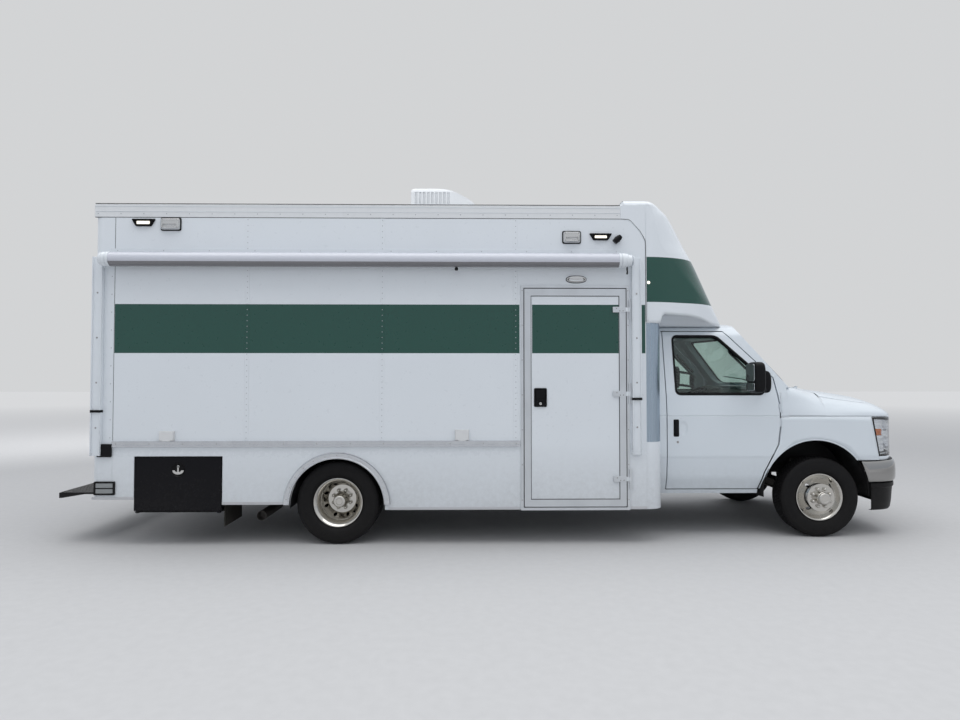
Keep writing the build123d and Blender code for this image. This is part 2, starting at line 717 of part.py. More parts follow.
# Cab interior
dash = side_view(placed([(-640, 1000), (-640, 1200), (-560, 1330), (-420, 1370), (-370.3, 1370),
                         (-370.3, 1000)]), -820, 820)
cover_half = engine_half + 22
dash += side_view(placed([(-1000, cab_floor_z + seat_gap), (-1000, 1000), (-640, 1115),
                          (-370.3, 1115), (-370.3, cab_floor_z + seat_gap)]), -cover_half, cover_half)
dash -= block(at_front(-780), at_front(0), -engine_half - 4, engine_half + 4, 400, 1104)
steering_place = Pos(at_front(-720), 460, 1290) * Rot(0, -30, 0)
dash -= steering_place * Pos(0, 0, -200) * Cylinder(24 + seat_gap, 400)
keep("dashboard", *dash.solids())
grip = Plane.XZ * (Pos(190, 0) * RegularPolygon(14, 8))
ring = revolve(grip, axis=Axis.Z) + Box(370, 34, 12) + Box(34, 370, 12) + Cylinder(50, 30)
column = Pos(0, 0, -120) * Cylinder(24, 240)
keep("steering_wheel", steering_place * (ring + column))
seat_x = -1330
seats = []
for side in (1, -1):
    y0 = side * 490 - 225
    y1 = side * 490 + 225
    seat = side_view(placed([(seat_x, 960), (seat_x - 60, 1560), (seat_x - 40, 1780),
                             (seat_x + 30, 1780), (seat_x + 60, 1560), (seat_x + 110, 1080),
                             (seat_x + 520, 1090), (seat_x + 540, 980), (seat_x + 500, 940)]),
                     y0, y1)
    seat += block(at_front(seat_x + 60), at_front(seat_x + 440), y0 + 40, y1 - 40,
                  cab_floor_z + seat_gap, 945)
    seats.append(seat)
keep("cab_seats", *seats)

# Box floor with bearers below and the step well beside the entry door
door_x1 = box_front_x - door_front
door_x0 = door_x1 - door_width
inner_y = box_half_width - wall
well_y = -640
floor_low = floor_top_z - floor_thickness
front_round = 130
rear_round = 70
floor = plan_view([(box_rear_x + wall, -inner_y), (box_front_x - wall, -inner_y),
                   (box_front_x - wall, inner_y), (box_rear_x + wall, inner_y)], floor_low, floor_top_z,
                  radius=[rear_round - wall, front_round - wall, front_round - wall, rear_round - wall])
well_x0 = door_x0 + frame_strip
well_x1 = door_x1 - frame_strip
floor -= block(well_x0, well_x1, -inner_y, well_y, floor_low - 1, floor_top_z + 1)
tread = 20
step_z = (400, 625)
frame_y0 = -box_half_width - frame_proud
frame_back_y = frame_y0 + frame_depth
floor -= block(door_x0, door_x1, -box_half_width, frame_back_y, floor_low - 1, floor_top_z + 1)
step_y = (frame_back_y, -880, well_y)
for low, y0, y1 in ((step_z[0], step_y[0], step_y[1]), (step_z[1], step_y[1], step_y[2])):
    floor += block(well_x0, well_x1, y0, y1 + tread, low - tread, low)
floor += block(well_x0, well_x1, step_y[1], step_y[1] + tread, step_z[0] - tread, step_z[1])
floor += block(well_x0, well_x1, well_y, well_y + tread, step_z[1] - tread, floor_top_z)
for x in (well_x0 - tread, well_x1):
    floor += block(x, x + tread, step_y[0], step_y[1] + tread, step_z[0] - tread, floor_low + 1)
    floor += block(x, x + tread, step_y[1], well_y + tread, step_z[1] - tread, floor_low + 1)
bearer_pitch = (box_length - 700) / 8
for step in range(9):
    x = box_rear_x + 350 + step * bearer_pitch
    reach = rail_outer_y + 150
    floor += block(x - 30, x + 30, -reach, reach, rail_top_z + seat_gap, floor_low + 1)
keep("box_floor", *floor.solids())

# Box walls
post_x = box_front_x - post_length
rear_post_x = box_rear_x + rear_post_length
wall_top = roof_z - rail_drop


def side_wall(side):
    """One flat side wall from the skirt to the roof rail."""
    return block(rear_post_x, post_x, side * box_half_width, side * inner_y, skirt_top_z, wall_top)


door_hole = block(door_x0, door_x1, -box_half_width - 50, -inner_y + 200, door_frame_z - 50,
                  door_frame_z + door_frame_height)
keep("box_wall_right", side_wall(-1) - door_hole)
keep("box_wall_left", side_wall(1))
pass_half = 330
pass_top_z = 1900
front_wall = end_view(both_ways([(inner_y - front_return, floor_low), (inner_y - front_return, 2050),
                                 (inner_y - 12, 2050), (inner_y - 12, 2900)]),
                      box_front_x - wall, box_front_x)
front_wall -= block(box_front_x - 100, box_front_x + 10, -pass_half, pass_half, floor_top_z, pass_top_z)
keep("box_wall_front", front_wall)
rear_wall = block(box_rear_x, box_rear_x + wall, -inner_y + rear_return, inner_y - rear_return, floor_low,
                  roof_z - roof_thickness)
rear_wall -= block(box_rear_x - 10, box_rear_x + wall + 10, -rear_door_half, rear_door_half,
                   rear_door_z, rear_door_z + rear_door_height)
keep("box_wall_rear", rear_wall)

# Roof panel with its two side rails
roof_round = 18
roof = block(box_rear_x, post_x, -box_half_width, box_half_width, roof_z - roof_thickness, roof_z)
for side in (1, -1):
    roof += block(box_rear_x, post_x, side * box_half_width, side * inner_y, wall_top, roof_z)
    corner = block(box_rear_x - 1, post_x + 1, side * (box_half_width - roof_round),
                   side * (box_half_width + 1), roof_z - roof_round, roof_z + 1)
    round_off = rod("X", ((box_rear_x + post_x) / 2, side * (box_half_width - roof_round),
                          roof_z - roof_round), roof_round, overall_length)
    roof -= corner - round_off
keep("box_roof", *roof.solids())

# Corner posts, rounded in plan
posts = []
for side in (1, -1):
    y = box_half_width
    return_y = inner_y - front_return
    bend = [(post_x, y), (box_front_x, y), (box_front_x, return_y), (box_front_x - wall, return_y),
            (box_front_x - wall, inner_y), (post_x, inner_y)]
    post = plan_view([(a, side * b) for a, b in bend], skirt_front_z, cap_leg_z,
                     radius=[0, front_round, 0, 0, front_round - wall, 0])
    posts.append(post)
    return_y = inner_y - rear_return
    bend = [(rear_post_x, y), (box_rear_x, y), (box_rear_x, return_y), (box_rear_x + wall, return_y),
            (box_rear_x + wall, inner_y), (rear_post_x, inner_y)]
    post = plan_view([(a, side * b) for a, b in bend], skirt_rear_z, roof_z - rail_drop,
                     radius=[0, rear_round, 0, 0, rear_round - wall, 0])
    posts.append(post)
keep("corner_posts", *posts)

# Skirts below the walls, cut for wheels, toolbox and entry door
arch_cut = rod("Y", (rear_axle_x, 0, arch_centre_z), arch_radius + 4, 3000)
arch_cut += block(rear_axle_x - arch_radius - 4, rear_axle_x + arch_radius + 4, -1500, 1500, 200,
                  arch_centre_z)
toolbox_x0 = box_rear_x + toolbox_start
toolbox_x1 = toolbox_x0 + toolbox_length
skirts = []
for side in (1, -1):
    outer = side * box_half_width
    inner = side * (box_half_width - skirt_wall)
    drop = [(rear_post_x, skirt_rear_z), (toolbox_x0, skirt_rear_z), (toolbox_x0, skirt_mid_z),
            (rear_axle_x, skirt_mid_z), (rear_axle_x, skirt_front_z), (post_x, skirt_front_z),
            (post_x, skirt_top_z), (rear_post_x, skirt_top_z)]
    skirt = side_view(drop, min(outer, inner), max(outer, inner)) - arch_cut
    if side < 0:
        skirt -= door_hole
        skirt -= block(toolbox_x0 - 4, toolbox_x1 + 4, -1500, -600, 200, toolbox_z + toolbox_height + 4)
    skirts += list(skirt.solids())
keep("box_skirts", *skirts)

# Bright wheel flares and the rub rails between them
trim = []
for side in (1, -1):
    ring_body = rod("Y", (rear_axle_x, side * (box_half_width + seat_gap + flare_proud / 2),
                          arch_centre_z), arch_radius + flare_width, flare_proud)
    ring_body -= rod("Y", (rear_axle_x, 0, arch_centre_z), arch_radius, 3000)
    bead = rod("Y", (rear_axle_x, side * (box_half_width + flare_proud - 8), arch_centre_z),
               arch_radius + 10, 20)
    ring_body += bead - rod("Y", (rear_axle_x, 0, arch_centre_z), arch_radius, 3000)
    ring_body -= block(rear_axle_x - 600, rear_axle_x + 600, -1500, 1500, -300, skirt_mid_z)
    trim.append(ring_body)
    y0 = side * (box_half_width + seat_gap)
    y1 = side * (box_half_width + 22)
    end = door_x0 - 8 if side < 0 else post_x
    rub = block(rear_post_x + 5, end, y0, y1, 880, 930)
    trim.append(rub - block(rear_post_x, end + 1, y1 - side * 8, y1 + side, 895, 915))
keep("flares_and_rub_rails", *trim)

# Entry door: an extruded frame in the wall and a leaf on three strap hinges
door_z1 = door_frame_z + door_frame_height
frame_ring = block(door_x0, door_x1, frame_y0, frame_y0 + frame_depth, door_frame_z, door_z1)
frame_ring -= block(door_x0 + frame_strip, door_x1 - frame_strip, frame_y0 - 10, frame_y0 + 300,
                    door_frame_z + frame_strip, door_z1 - frame_strip)
leaf = block(door_x0 + frame_strip + door_gap, door_x1 - frame_strip - door_gap, frame_y0,
             frame_y0 + leaf_thickness, door_frame_z + frame_strip + door_gap,
             door_z1 - frame_strip - door_gap)
edge_width = 72
edge_height = 88
panel_depth = 5
leaf -= block(door_x0 + edge_width, door_x1 - edge_width, frame_y0 - 1, frame_y0 + panel_depth,
              door_frame_z + edge_height, door_z1 - edge_height)
hinge_x = door_x1 - 3
hinge_y = frame_y0 - 8
knuckle_r = 8
hinge_height = 40
strap_length = 130
for z in strap_heights:
    frame_ring += rod("Z", (hinge_x, hinge_y, z - hinge_height / 2), knuckle_r, hinge_height)
    frame_ring += block(hinge_x, hinge_x + 3, hinge_y, frame_y0 + 1, z - hinge_height, z)
    leaf += rod("Z", (hinge_x, hinge_y, z + (hinge_height + seat_gap) / 2), knuckle_r,
                hinge_height - seat_gap)
    leaf += block(hinge_x - strap_length, hinge_x, hinge_y - 2, hinge_y + 3, z + seat_gap,
                  z + hinge_height)
    leaf += block(hinge_x - strap_length, hinge_x - 40, hinge_y + 2, frame_y0 + 1, z + seat_gap,
                  z + hinge_height)
keep("entry_door_frame", frame_ring)
keep("entry_door", leaf)

# Rear doors with windows
rear_door_z1 = rear_door_z + rear_door_height
leaf_x0 = box_rear_x - 4
rear_leaf_thickness = 46
rear_window_edge = 130
rear_window_height = 500
rear_hinge_x = leaf_x0 - 8
right_rear = block(leaf_x0, leaf_x0 + rear_leaf_thickness, -rear_door_half + door_gap, -door_gap / 2,
                   rear_door_z + door_gap, rear_door_z1 - door_gap)
pane_y0 = -rear_door_half + rear_window_edge
pane_y1 = -rear_window_edge
right_rear -= block(leaf_x0 - 5, leaf_x0 + rear_leaf_thickness + 5, pane_y0, pane_y1, rear_window_z,
                    rear_window_z + rear_window_height)
pane_x = leaf_x0 + 18
rear_pane = block(pane_x, pane_x + glass, pane_y0 + seat_gap, pane_y1 - seat_gap,
                  rear_window_z + seat_gap, rear_window_z + rear_window_height - seat_gap)
hinge_edge = -rear_door_half - 12
hinge_zs = (rear_door_z + 250, rear_door_z + 850, rear_door_z + 1450)
for z in hinge_zs:
    for side in (1, -1):
        rear_wall += rod("Z", (rear_hinge_x, side * hinge_edge, z - hinge_height / 2), knuckle_r,
                         hinge_height)
        rear_wall += block(rear_hinge_x, box_rear_x + 1, side * hinge_edge - knuckle_r,
                           side * hinge_edge + knuckle_r, z - hinge_height, z)
    right_rear += rod("Z", (rear_hinge_x, hinge_edge, z + (hinge_height + seat_gap) / 2), knuckle_r,
                      hinge_height - seat_gap)
    right_rear += block(rear_hinge_x - 3, rear_hinge_x + 3, hinge_edge, hinge_edge + 110, z + seat_gap,
                        z + hinge_height)
    right_rear += block(rear_hinge_x, leaf_x0 + 1, hinge_edge + 40, hinge_edge + 110, z + seat_gap,
                        z + hinge_height)
keep("box_wall_rear", rear_wall)
keep("rear_door_right", right_rear)
keep("rear_door_left", other_side(right_rear))
keep("rear_glass_right", rear_pane)
keep("rear_glass_left", other_side(rear_pane))

# Toolbox below the floor, open to the side behind its drop lid
lid_y = -box_half_width - lid_proud
case_y = lid_y + lid_thickness + seat_gap
case = block(toolbox_x0, toolbox_x1, case_y, case_y + toolbox_depth, toolbox_z,
             toolbox_z + toolbox_height)
case -= block(toolbox_x0 + toolbox_wall, toolbox_x1 - toolbox_wall, case_y - 1,
              case_y + toolbox_depth - toolbox_wall, toolbox_z + toolbox_wall,
              toolbox_z + toolbox_height - toolbox_wall)
lid = block(toolbox_x0, toolbox_x1, lid_y, lid_y + lid_thickness, toolbox_z + 14,
            toolbox_z + toolbox_height)
latch_x = (toolbox_x0 + toolbox_x1) / 2
latch_z = 674
latch_recess = 64
lid -= rod("Y", (latch_x, lid_y, latch_z), latch_recess, 24)
keep("toolbox_body", case)
keep("toolbox_lid", lid)

# Nose cap over the cab: a curved shell with a leg down each front post and a scooped underside
# x, z, corner radius
cap_profile = [(-cap_rear - cap_lip, roof_z + seat_gap, 0), (-cap_rear - cap_lip, roof_z + 50, 0),
               (-1625, roof_z + 48, 150), (-1445, 3000, 500), (-1165, 2640, 1800), (-965, 2240, 1800),
               (-805, 1940, 0), (-1400, cap_leg_z + seat_gap, 0), (-cap_rear, cap_leg_z + seat_gap, 0),
               (-cap_rear, roof_z + seat_gap, 0)]
# x, y, corner radius
cap_plan = [(-2000, box_half_width, 0), (-1560, box_half_width, 500), (-1150, 1060, 400),
            (-850, 800, 250), (-760, 350, 0)]
# y, z, corner radius
cap_section = [(box_half_width, 1900, 0), (box_half_width, 2900, 240), (1060, roof_z + 50, 160),
               (200, roof_z + 60, 0)]
# y, z of the underside, from the outer lip in to the cab roof
cap_scoop = [(box_half_width + 1, 2078), (1080, 2066), (960, 2030), (870, cap_leg_z + seat_gap)]


def cap_form(inset):
    """The cap's outer form, shrunk by inset on the outside only."""
    plan_face = rounded(cap_plan + [(x, -y, r) for x, y, r in reversed(cap_plan)])
    section = rounded(mirrored(cap_section))
    side_face = rounded(cap_profile)
    if inset:
        front = [(x - inset, z - inset, r) for x, z, r in cap_profile[2:6]]
        side_face = rounded([(-cap_rear - cap_wall, 1900, 0), (-cap_rear - cap_wall, front[0][1], 0)]
                            + front + [(-860, 1900, 0)])
        plan_face = offset(plan_face, amount=-inset, kind=Kind.INTERSECTION)
        section = offset(section, amount=-inset, kind=Kind.INTERSECTION)
    place = Pos(front_axle_x, 0, 0)
    body = place * extrude(Plane.XZ.offset(-1300) * side_face, amount=2600)
    body = body & (place * extrude(Plane.XY.offset(1900) * plan_face, amount=1400))
    return body & extrude(Plane.YZ.offset(at_front(-2000)) * section, amount=1400)


def below_scoop(rise):
    """The space under the cap's underside ahead of the box, moved up by rise."""
    face = [(y, z + rise) for y, z in cap_scoop]
    space = end_view(both_ways([(box_half_width + 1, 1800)] + face), box_front_x, at_front(-400))
    return space


cap_outer = cap_form(0) - below_scoop(0)
cap_inner = cap_form(cap_wall) - (below_scoop(cap_wall) - block(box_front_x - 1, at_front(0), -820, 820,
                                                               1800, 3200))
cap = cap_outer - cap_inner - cab_form(-seat_gap)
cap -= block(box_rear_x, post_x + seat_gap, -box_half_width - 5, box_half_width + 5,
             roof_z - 160, roof_z + seat_gap)
keep("nose_cap", *cap.solids())

# Awning: a roller between end brackets, on two arms down the wall
roller_z = 2541
roller_r = 65
roller_y = -box_half_width - roller_r - 20
roller_x0 = box_rear_x + 166
roller_x1 = box_front_x - 395
keep("awning_roller", rod("X", ((roller_x0 + roller_x1) / 2, roller_y, roller_z), roller_r,
                          roller_x1 - roller_x0))
arm_depth = 45
arm_top_z = 2577
bracket_radius = roller_r + 4
arms = []
# rear edge, front edge and low end of each arm, and the roller's end that it carries
for x0, x1, low, roller_end in ((box_rear_x + 53, box_rear_x + 142, 803, roller_x0),
                                (box_front_x - 288, box_front_x - 205, 856, roller_x1)):
    channel = block(x0, x1, -box_half_width - seat_gap, -box_half_width - arm_depth, low, arm_top_z)
    channel -= block(x0 + 12, x1 - 12, -box_half_width - arm_depth + 14, -box_half_width - arm_depth - 1,
                     low + 40, arm_top_z - 220)
    far_end = x0 if roller_end < x0 + 200 and roller_end > x0 else x1
    length = abs(roller_end - far_end) - 2 * seat_gap
    cheek = rod("X", ((roller_end + far_end) / 2, roller_y, roller_z), bracket_radius, length)
    rib = rod("X", ((roller_end + far_end) / 2, roller_y, roller_z), bracket_radius + 6, length / 3)
    cheek += block(min(roller_end, far_end) + seat_gap, max(roller_end, far_end) - seat_gap,
                   -box_half_width - seat_gap, roller_y, roller_z - 36, roller_z + 36)
    arms.append(channel + cheek + rib)
keep("awning_arms", *arms)

# Roof air conditioner: a rounded shroud on a low base, slotted at the rear
ac_half = 350
ac_rear = -3903
# x, z, corner radius
ac_profile = [(ac_rear, roof_z + 40, 0), (ac_rear + 4, 3472, 45), (-3520, 3472, 500), (-3255, 3330, 400),
              (-3090, roof_z + 40, 0)]
ac_face = rounded([(at_front(x), z, r) for x, z, r in ac_profile])
shroud = extrude(Plane.XZ.offset(-ac_half) * ac_face, amount=2 * ac_half)
shroud = shroud & end_view([(-ac_half, roof_z), (-ac_half + 25, 3480), (ac_half - 25, 3480),
                            (ac_half, roof_z)], at_front(ac_rear), at_front(-3000), radius=[0, 70, 70, 0])
shroud += block(at_front(ac_rear + 15), at_front(-3110), -ac_half + 15, ac_half - 15,
                roof_z + seat_gap, roof_z + 45)
slot_pitch = 42
slot_width = 24
slot_depth = 30
# lowest and highest edge of each row of slots
for low, high in ((3150, 3275), (3300, 3425)):
    for step in range(9):
        x = at_front(ac_rear + 45 + step * slot_pitch)
        for side in (1, -1):
            shroud -= block(x, x + slot_width, side * (ac_half - slot_depth), side * (ac_half + 5),
                            low, high)
    for step in range(-7, 8):
        y = step * slot_pitch
        shroud -= block(at_front(ac_rear - 5), at_front(ac_rear + slot_depth), y - slot_width / 2,
                        y + slot_width / 2, low, high)
keep("roof_air_conditioner", shroud)

# Lamps on the box: side, front corners and rear
lamps_list = []
# rear edge, front edge, low edge, high edge, how far proud
lamp_table = [(-6319, -6104, 2851, 2918, 30), (-6060, -5876, 2811, 2932, 40),
              (-2452, -2280, 2705, 2823, 40), (-2207, -1998, 2738, 2801, 30)]
for x0, x1, z0, z1, proud in lamp_table:
    for side in (1, -1):
        y0 = side * (box_half_width + seat_gap)
        lamps_list.append(block(at_front(x0), at_front(x1), y0, side * (box_half_width + proud), z0, z1))
for side in (1, -1):
    for z0, z1 in ((980, 1160), (1190, 1370), (2780, 2900)):
        lamps_list.append(block(box_rear_x - 30, box_rear_x - seat_gap, side * 800, side * 1000, z0, z1))
keep("body_lamps", *lamps_list)

# Rear step: a thin grating, deep at its rear edge, on two brackets from the rails
tread_z = 446
step_half = 1050
step_nose = 48
deck = 14
step_front = box_rear_x - 30
step_rear = box_rear_x - step_reach
step = side_view([(step_rear, tread_z), (step_rear, tread_z - step_nose),
                  (step_rear + 24, tread_z - step_nose), (step_front - 120, tread_z - deck),
                  (step_front, tread_z - deck), (step_front, tread_z)], -step_half, step_half)
for side in (1, -1):
    y0 = side * (rail_outer_y - rail_flange - 2)
    y1 = side * (rail_outer_y - rail_wall - 2)
    step += block(box_rear_x - 200, rail_rear_x - seat_gap, y0, y1, tread_z - deck, 560)
    step += block(rail_rear_x - 80, rail_rear_x - seat_gap, y0, y1, 540, 660)
keep("rear_step", step)

# Mud flaps hang from the floor ahead of the toolbox
flap_thickness = 10
flap_inset = 469
flap_low_z = 165
flaps = []
for side in (1, -1):
    flaps.append(block(toolbox_x1 + seat_gap + 10, toolbox_x1 + seat_gap + 10 + flap_thickness,
                       side * (box_half_width - flap_inset), side * (box_half_width - skirt_wall - 9),
                       flap_low_z, floor_low - seat_gap))
keep("mud_flaps", *flaps)

os.makedirs("parts", exist_ok=True)
for name, solids in nodes.items():
    shape = solids[0] if len(solids) == 1 else Compound(children=list(solids))
    export_step(shape, f"parts/{name}.step")
print(len(nodes), "nodes")
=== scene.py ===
# %% [markdown]
# # Dressing a box-bodied ambulance
#
# The CAD model gives this vehicle its panels, doors, wheels and joints. This file adds what a
# painter, a trimmer and a fitter would: finishes, tyres with tread, rivets, lamps, seals and
# cushions. Everything is in metres, in the frame of the CAD model: X forward, Y to the
# vehicle's left, Z up, with the ground at zero.

# %% Load the frame
import math
import bpy
import numpy as np
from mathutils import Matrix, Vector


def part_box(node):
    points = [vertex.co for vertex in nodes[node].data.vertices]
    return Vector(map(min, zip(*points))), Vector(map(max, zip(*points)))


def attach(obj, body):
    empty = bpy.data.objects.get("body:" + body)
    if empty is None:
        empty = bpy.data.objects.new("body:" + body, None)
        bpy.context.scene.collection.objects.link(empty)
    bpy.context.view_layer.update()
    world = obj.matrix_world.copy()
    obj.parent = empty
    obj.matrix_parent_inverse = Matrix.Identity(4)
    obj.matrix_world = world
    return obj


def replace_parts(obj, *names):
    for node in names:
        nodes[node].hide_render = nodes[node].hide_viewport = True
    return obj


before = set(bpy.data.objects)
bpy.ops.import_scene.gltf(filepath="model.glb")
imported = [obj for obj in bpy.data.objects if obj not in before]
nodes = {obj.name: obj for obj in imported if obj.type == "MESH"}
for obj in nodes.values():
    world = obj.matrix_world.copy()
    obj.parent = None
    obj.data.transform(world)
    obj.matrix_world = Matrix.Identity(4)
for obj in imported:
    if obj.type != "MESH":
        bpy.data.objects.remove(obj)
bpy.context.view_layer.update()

# %% [markdown]
# ## Places that many pieces share
#
# The photo was measured from the front axle, so most places here are too. `fx` turns a
# distance from the front axle, in millimetres, into X. `SIDE` and `CAB_HALF` are how far the
# box's and the cab's side walls stand from the middle line, and the tracks say it of the wheels.

# %% Shared places
FRONT_AXLE = 3.05
WHEEL_Z = 0.372
REAR_AXLE = -1.42
SIDE = 1.219
CAB_HALF = 1.007
FRONT_TRACK, REAR_TRACK = 0.881, 0.952
SIDES = (("left", 1), ("right", -1))


def fx(x):
    """X in metres of a place given in millimetres forward of the front axle."""
    return FRONT_AXLE + x / 1000


# %% [markdown]
# ## Mesh helpers
#
# A piece here is whole arrays: a table of corners and a table of faces. Blender can take such
# arrays at once, which is far quicker than adding corners one by one, and the shape stays a
# formula that can be read. `Parts` collects several arrays and makes one object of them.

# %% A mesh from whole arrays
def grid_faces(rows, columns, close_rows=False, close_columns=False):
    """Quads over a grid of corners: each joins four neighbours, wrapping round where closed."""
    r = np.arange(rows if close_rows else rows - 1)
    c = np.arange(columns if close_columns else columns - 1)
    r, c = np.meshgrid(r, c, indexing="ij")
    r2, c2 = (r + 1) % rows, (c + 1) % columns
    quads = np.stack([r * columns + c, r2 * columns + c, r2 * columns + c2, r * columns + c2], -1)
    return quads.reshape(-1, 4)


class Parts:
    """Corners and faces of shapes that become one object."""

    def __init__(self):
        self.corners, self.faces, self.count = [], [], 0

    def add(self, corners, *faces):
        corners = np.asarray(corners, float).reshape(-1, 3)
        self.faces += [np.asarray(f) + self.count for f in faces if len(f)]
        self.corners.append(corners)
        self.count += len(corners)
        return self


def build(name, parts, finish, body="chassis", bevel=0.0, sharp=35, levels=2):
    """One object from parts, riding on a body. Faces turned by more than sharp stay crisp."""
    mesh = bpy.data.meshes.new(name)
    corners = np.concatenate(parts.corners)
    loops = np.concatenate([f.ravel() for f in parts.faces])
    sizes = np.concatenate([np.full(len(f), f.shape[1]) for f in parts.faces])
    mesh.vertices.add(len(corners))
    mesh.vertices.foreach_set("co", corners.ravel())
    mesh.loops.add(len(loops))
    mesh.loops.foreach_set("vertex_index", loops)
    mesh.polygons.add(len(sizes))
    mesh.polygons.foreach_set("loop_start", np.concatenate([[0], np.cumsum(sizes)[:-1]]))
    mesh.update(calc_edges=True)
    mesh.validate()
    mesh.polygons.foreach_set("use_smooth", np.ones(len(sizes), bool))
    mesh.set_sharp_from_angle(angle=math.radians(sharp))
    obj = bpy.data.objects.new(name, mesh)
    bpy.context.scene.collection.objects.link(obj)
    mesh.materials.append(finish)
    if bevel:
        edge = obj.modifiers.new("edge", "BEVEL")
        edge.width, edge.segments, edge.limit_method = bevel, levels, "ANGLE"
        edge.angle_limit = math.radians(40)
        edge.harden_normals = False
    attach(obj, body)
    return obj


# %% [markdown]
# Four shapes cover nearly all fittings: a box, a flat outline with thickness, a turned ring
# and a tube along a path. Each is written once, as a formula, and returns corners and faces.

# %% Box, plate, ring and tube
AXES = {"X": (1, 2, 0), "Y": (2, 0, 1), "Z": (0, 1, 2)}


def box(lo, hi):
    """The eight corners between two opposite ones, and six quads turned outwards."""
    lo, hi = np.minimum(lo, hi), np.maximum(lo, hi)
    pick = np.array([[i & 1, i >> 1 & 1, i >> 2 & 1] for i in range(8)])
    quads = [[0, 2, 3, 1], [4, 5, 7, 6], [0, 1, 5, 4], [2, 6, 7, 3], [0, 4, 6, 2], [1, 3, 7, 5]]
    return lo + pick * (hi - lo), np.array(quads)


def on_wall(x0, x1, z0, z1, low, high):
    """A box on the box body's left wall: its X by `fx`, its height, and low to high off the wall."""
    return box((fx(x0), SIDE + low, z0), (fx(x1), SIDE + high, z1))


def plate(outline, axis, low, high):
    """A flat outline, given anticlockwise, carried along an axis from low to high."""
    a, b, c = AXES[axis]
    n = len(outline)
    corners = np.zeros((2, n, 3))
    corners[:, :, a], corners[:, :, b] = np.array(outline)[:, 0], np.array(outline)[:, 1]
    corners[0, :, c], corners[1, :, c] = low, high
    i = np.arange(n)
    j = (i + 1) % n
    return corners.reshape(-1, 3), np.stack([i, j, j + n, i + n], 1), i[None, ::-1], i[None] + n


def ring(profile, centre, axis="Y", steps=64, closed=True, turn=0.0):
    """A profile of (distance along the axis, radius) turned once round the axis."""
    a, b, c = AXES[axis]
    s, r = np.array(profile, float).T
    t = np.linspace(0, 2 * np.pi, steps, endpoint=False)[:, None] + turn
    corners = np.zeros((steps, len(s), 3))
    corners[..., a], corners[..., b], corners[..., c] = r * np.cos(t), r * np.sin(t), s + 0 * t
    faces = grid_faces(steps, len(s), True, closed)
    return corners.reshape(-1, 3) + np.array(centre), faces


def disc(profile, centre, axis="Y", steps=48, turn=0.0):
    """A turned solid: the profile's first and last points lie on the axis and close it."""
    middle, faces = ring(profile[1:-1], centre, axis, steps, False, turn)
    c = AXES[axis][2]
    ends = np.tile(np.array(centre, float), (2, 1))
    ends[:, c] += [profile[0][0], profile[-1][0]]
    n = len(profile) - 2
    i = np.arange(steps)
    j = (i + 1) % steps
    last = len(middle)
    first = np.stack([i * n, j * n, np.full(steps, last)], 1)
    final = np.stack([j * n + n - 1, i * n + n - 1, np.full(steps, last + 1)], 1)
    return np.concatenate([middle, ends]), faces, first[:, ::-1], final[:, ::-1]


def tube(path, radius, sides=12):
    """A circle carried along a path, square to it at each point, with flat ends."""
    path = np.asarray(path, float)
    ahead = np.roll(path, -1, 0) - np.roll(path, 1, 0)
    ahead[0], ahead[-1] = path[1] - path[0], path[-1] - path[-2]
    ahead /= np.linalg.norm(ahead, axis=1)[:, None]
    up = np.array([0, 0, 1.0]) if abs(ahead[:, 2]).max() < 0.9 else np.array([0.37, 0.93, 0])
    side = np.cross(ahead, up)
    side /= np.linalg.norm(side, axis=1)[:, None]
    over = np.cross(side, ahead)
    t = np.linspace(0, 2 * np.pi, sides, endpoint=False)[None, :, None]
    radius = np.broadcast_to(radius, len(path))[:, None, None]
    corners = path[:, None] + radius * (np.cos(t) * side[:, None] + np.sin(t) * over[:, None])
    faces = grid_faces(len(path), sides, False, True)
    i = np.arange(sides)
    return corners.reshape(-1, 3), faces, i[None], (i + (len(path) - 1) * sides)[None, ::-1]


def xyz(x, y, z):
    """Places from their X, Y and Z, each a number or an array."""
    return np.stack(np.broadcast_arrays(x, y, z), -1)


# %% Outlines, mouldings and small heads
def flipped(shape):
    """The same shape on the vehicle's other side, its faces turned outwards again."""
    corners, *faces = shape
    return (np.asarray(corners) * (1, -1, 1), *[np.asarray(f)[:, ::-1] for f in faces])


def loop(points, radius, steps=5):
    """A closed outline, anticlockwise, where each corner is a curve of about radius.

    The curve is a parabola between the two points at radius from the corner."""
    p = np.asarray(points, float)
    q = np.roll(p, -1, 0)
    if np.sum(p[:, 0] * q[:, 1] - q[:, 0] * p[:, 1]) < 0:
        p = p[::-1]
        radius = radius if np.isscalar(radius) else radius[::-1]
    back, ahead = np.roll(p, 1, 0) - p, np.roll(p, -1, 0) - p
    reach_back, reach_ahead = np.linalg.norm(back, axis=1), np.linalg.norm(ahead, axis=1)
    cut = np.minimum(np.broadcast_to(radius, len(p)), 0.49 * np.minimum(reach_back, reach_ahead))
    first = p + back * (cut / reach_back)[:, None]
    last = p + ahead * (cut / reach_ahead)[:, None]
    u = np.linspace(0, 1, steps)[None, :, None]
    curve = (1 - u) ** 2 * first[:, None] + 2 * u * (1 - u) * p[:, None] + u ** 2 * last[:, None]
    return curve.reshape(-1, 2)


def oblong(a0, a1, b0, b1, radius, steps=5):
    """A rounded rectangle as a closed outline."""
    return loop([(a0, b0), (a1, b0), (a1, b1), (a0, b1)], radius, steps)


def slab(z0, z1, x0, x1, radius, low, high):
    """A block with rounded corners that faces the side, its Y from low to high."""
    return plate(oblong(z0, z1, x0, x1, radius), "Y", low, high)


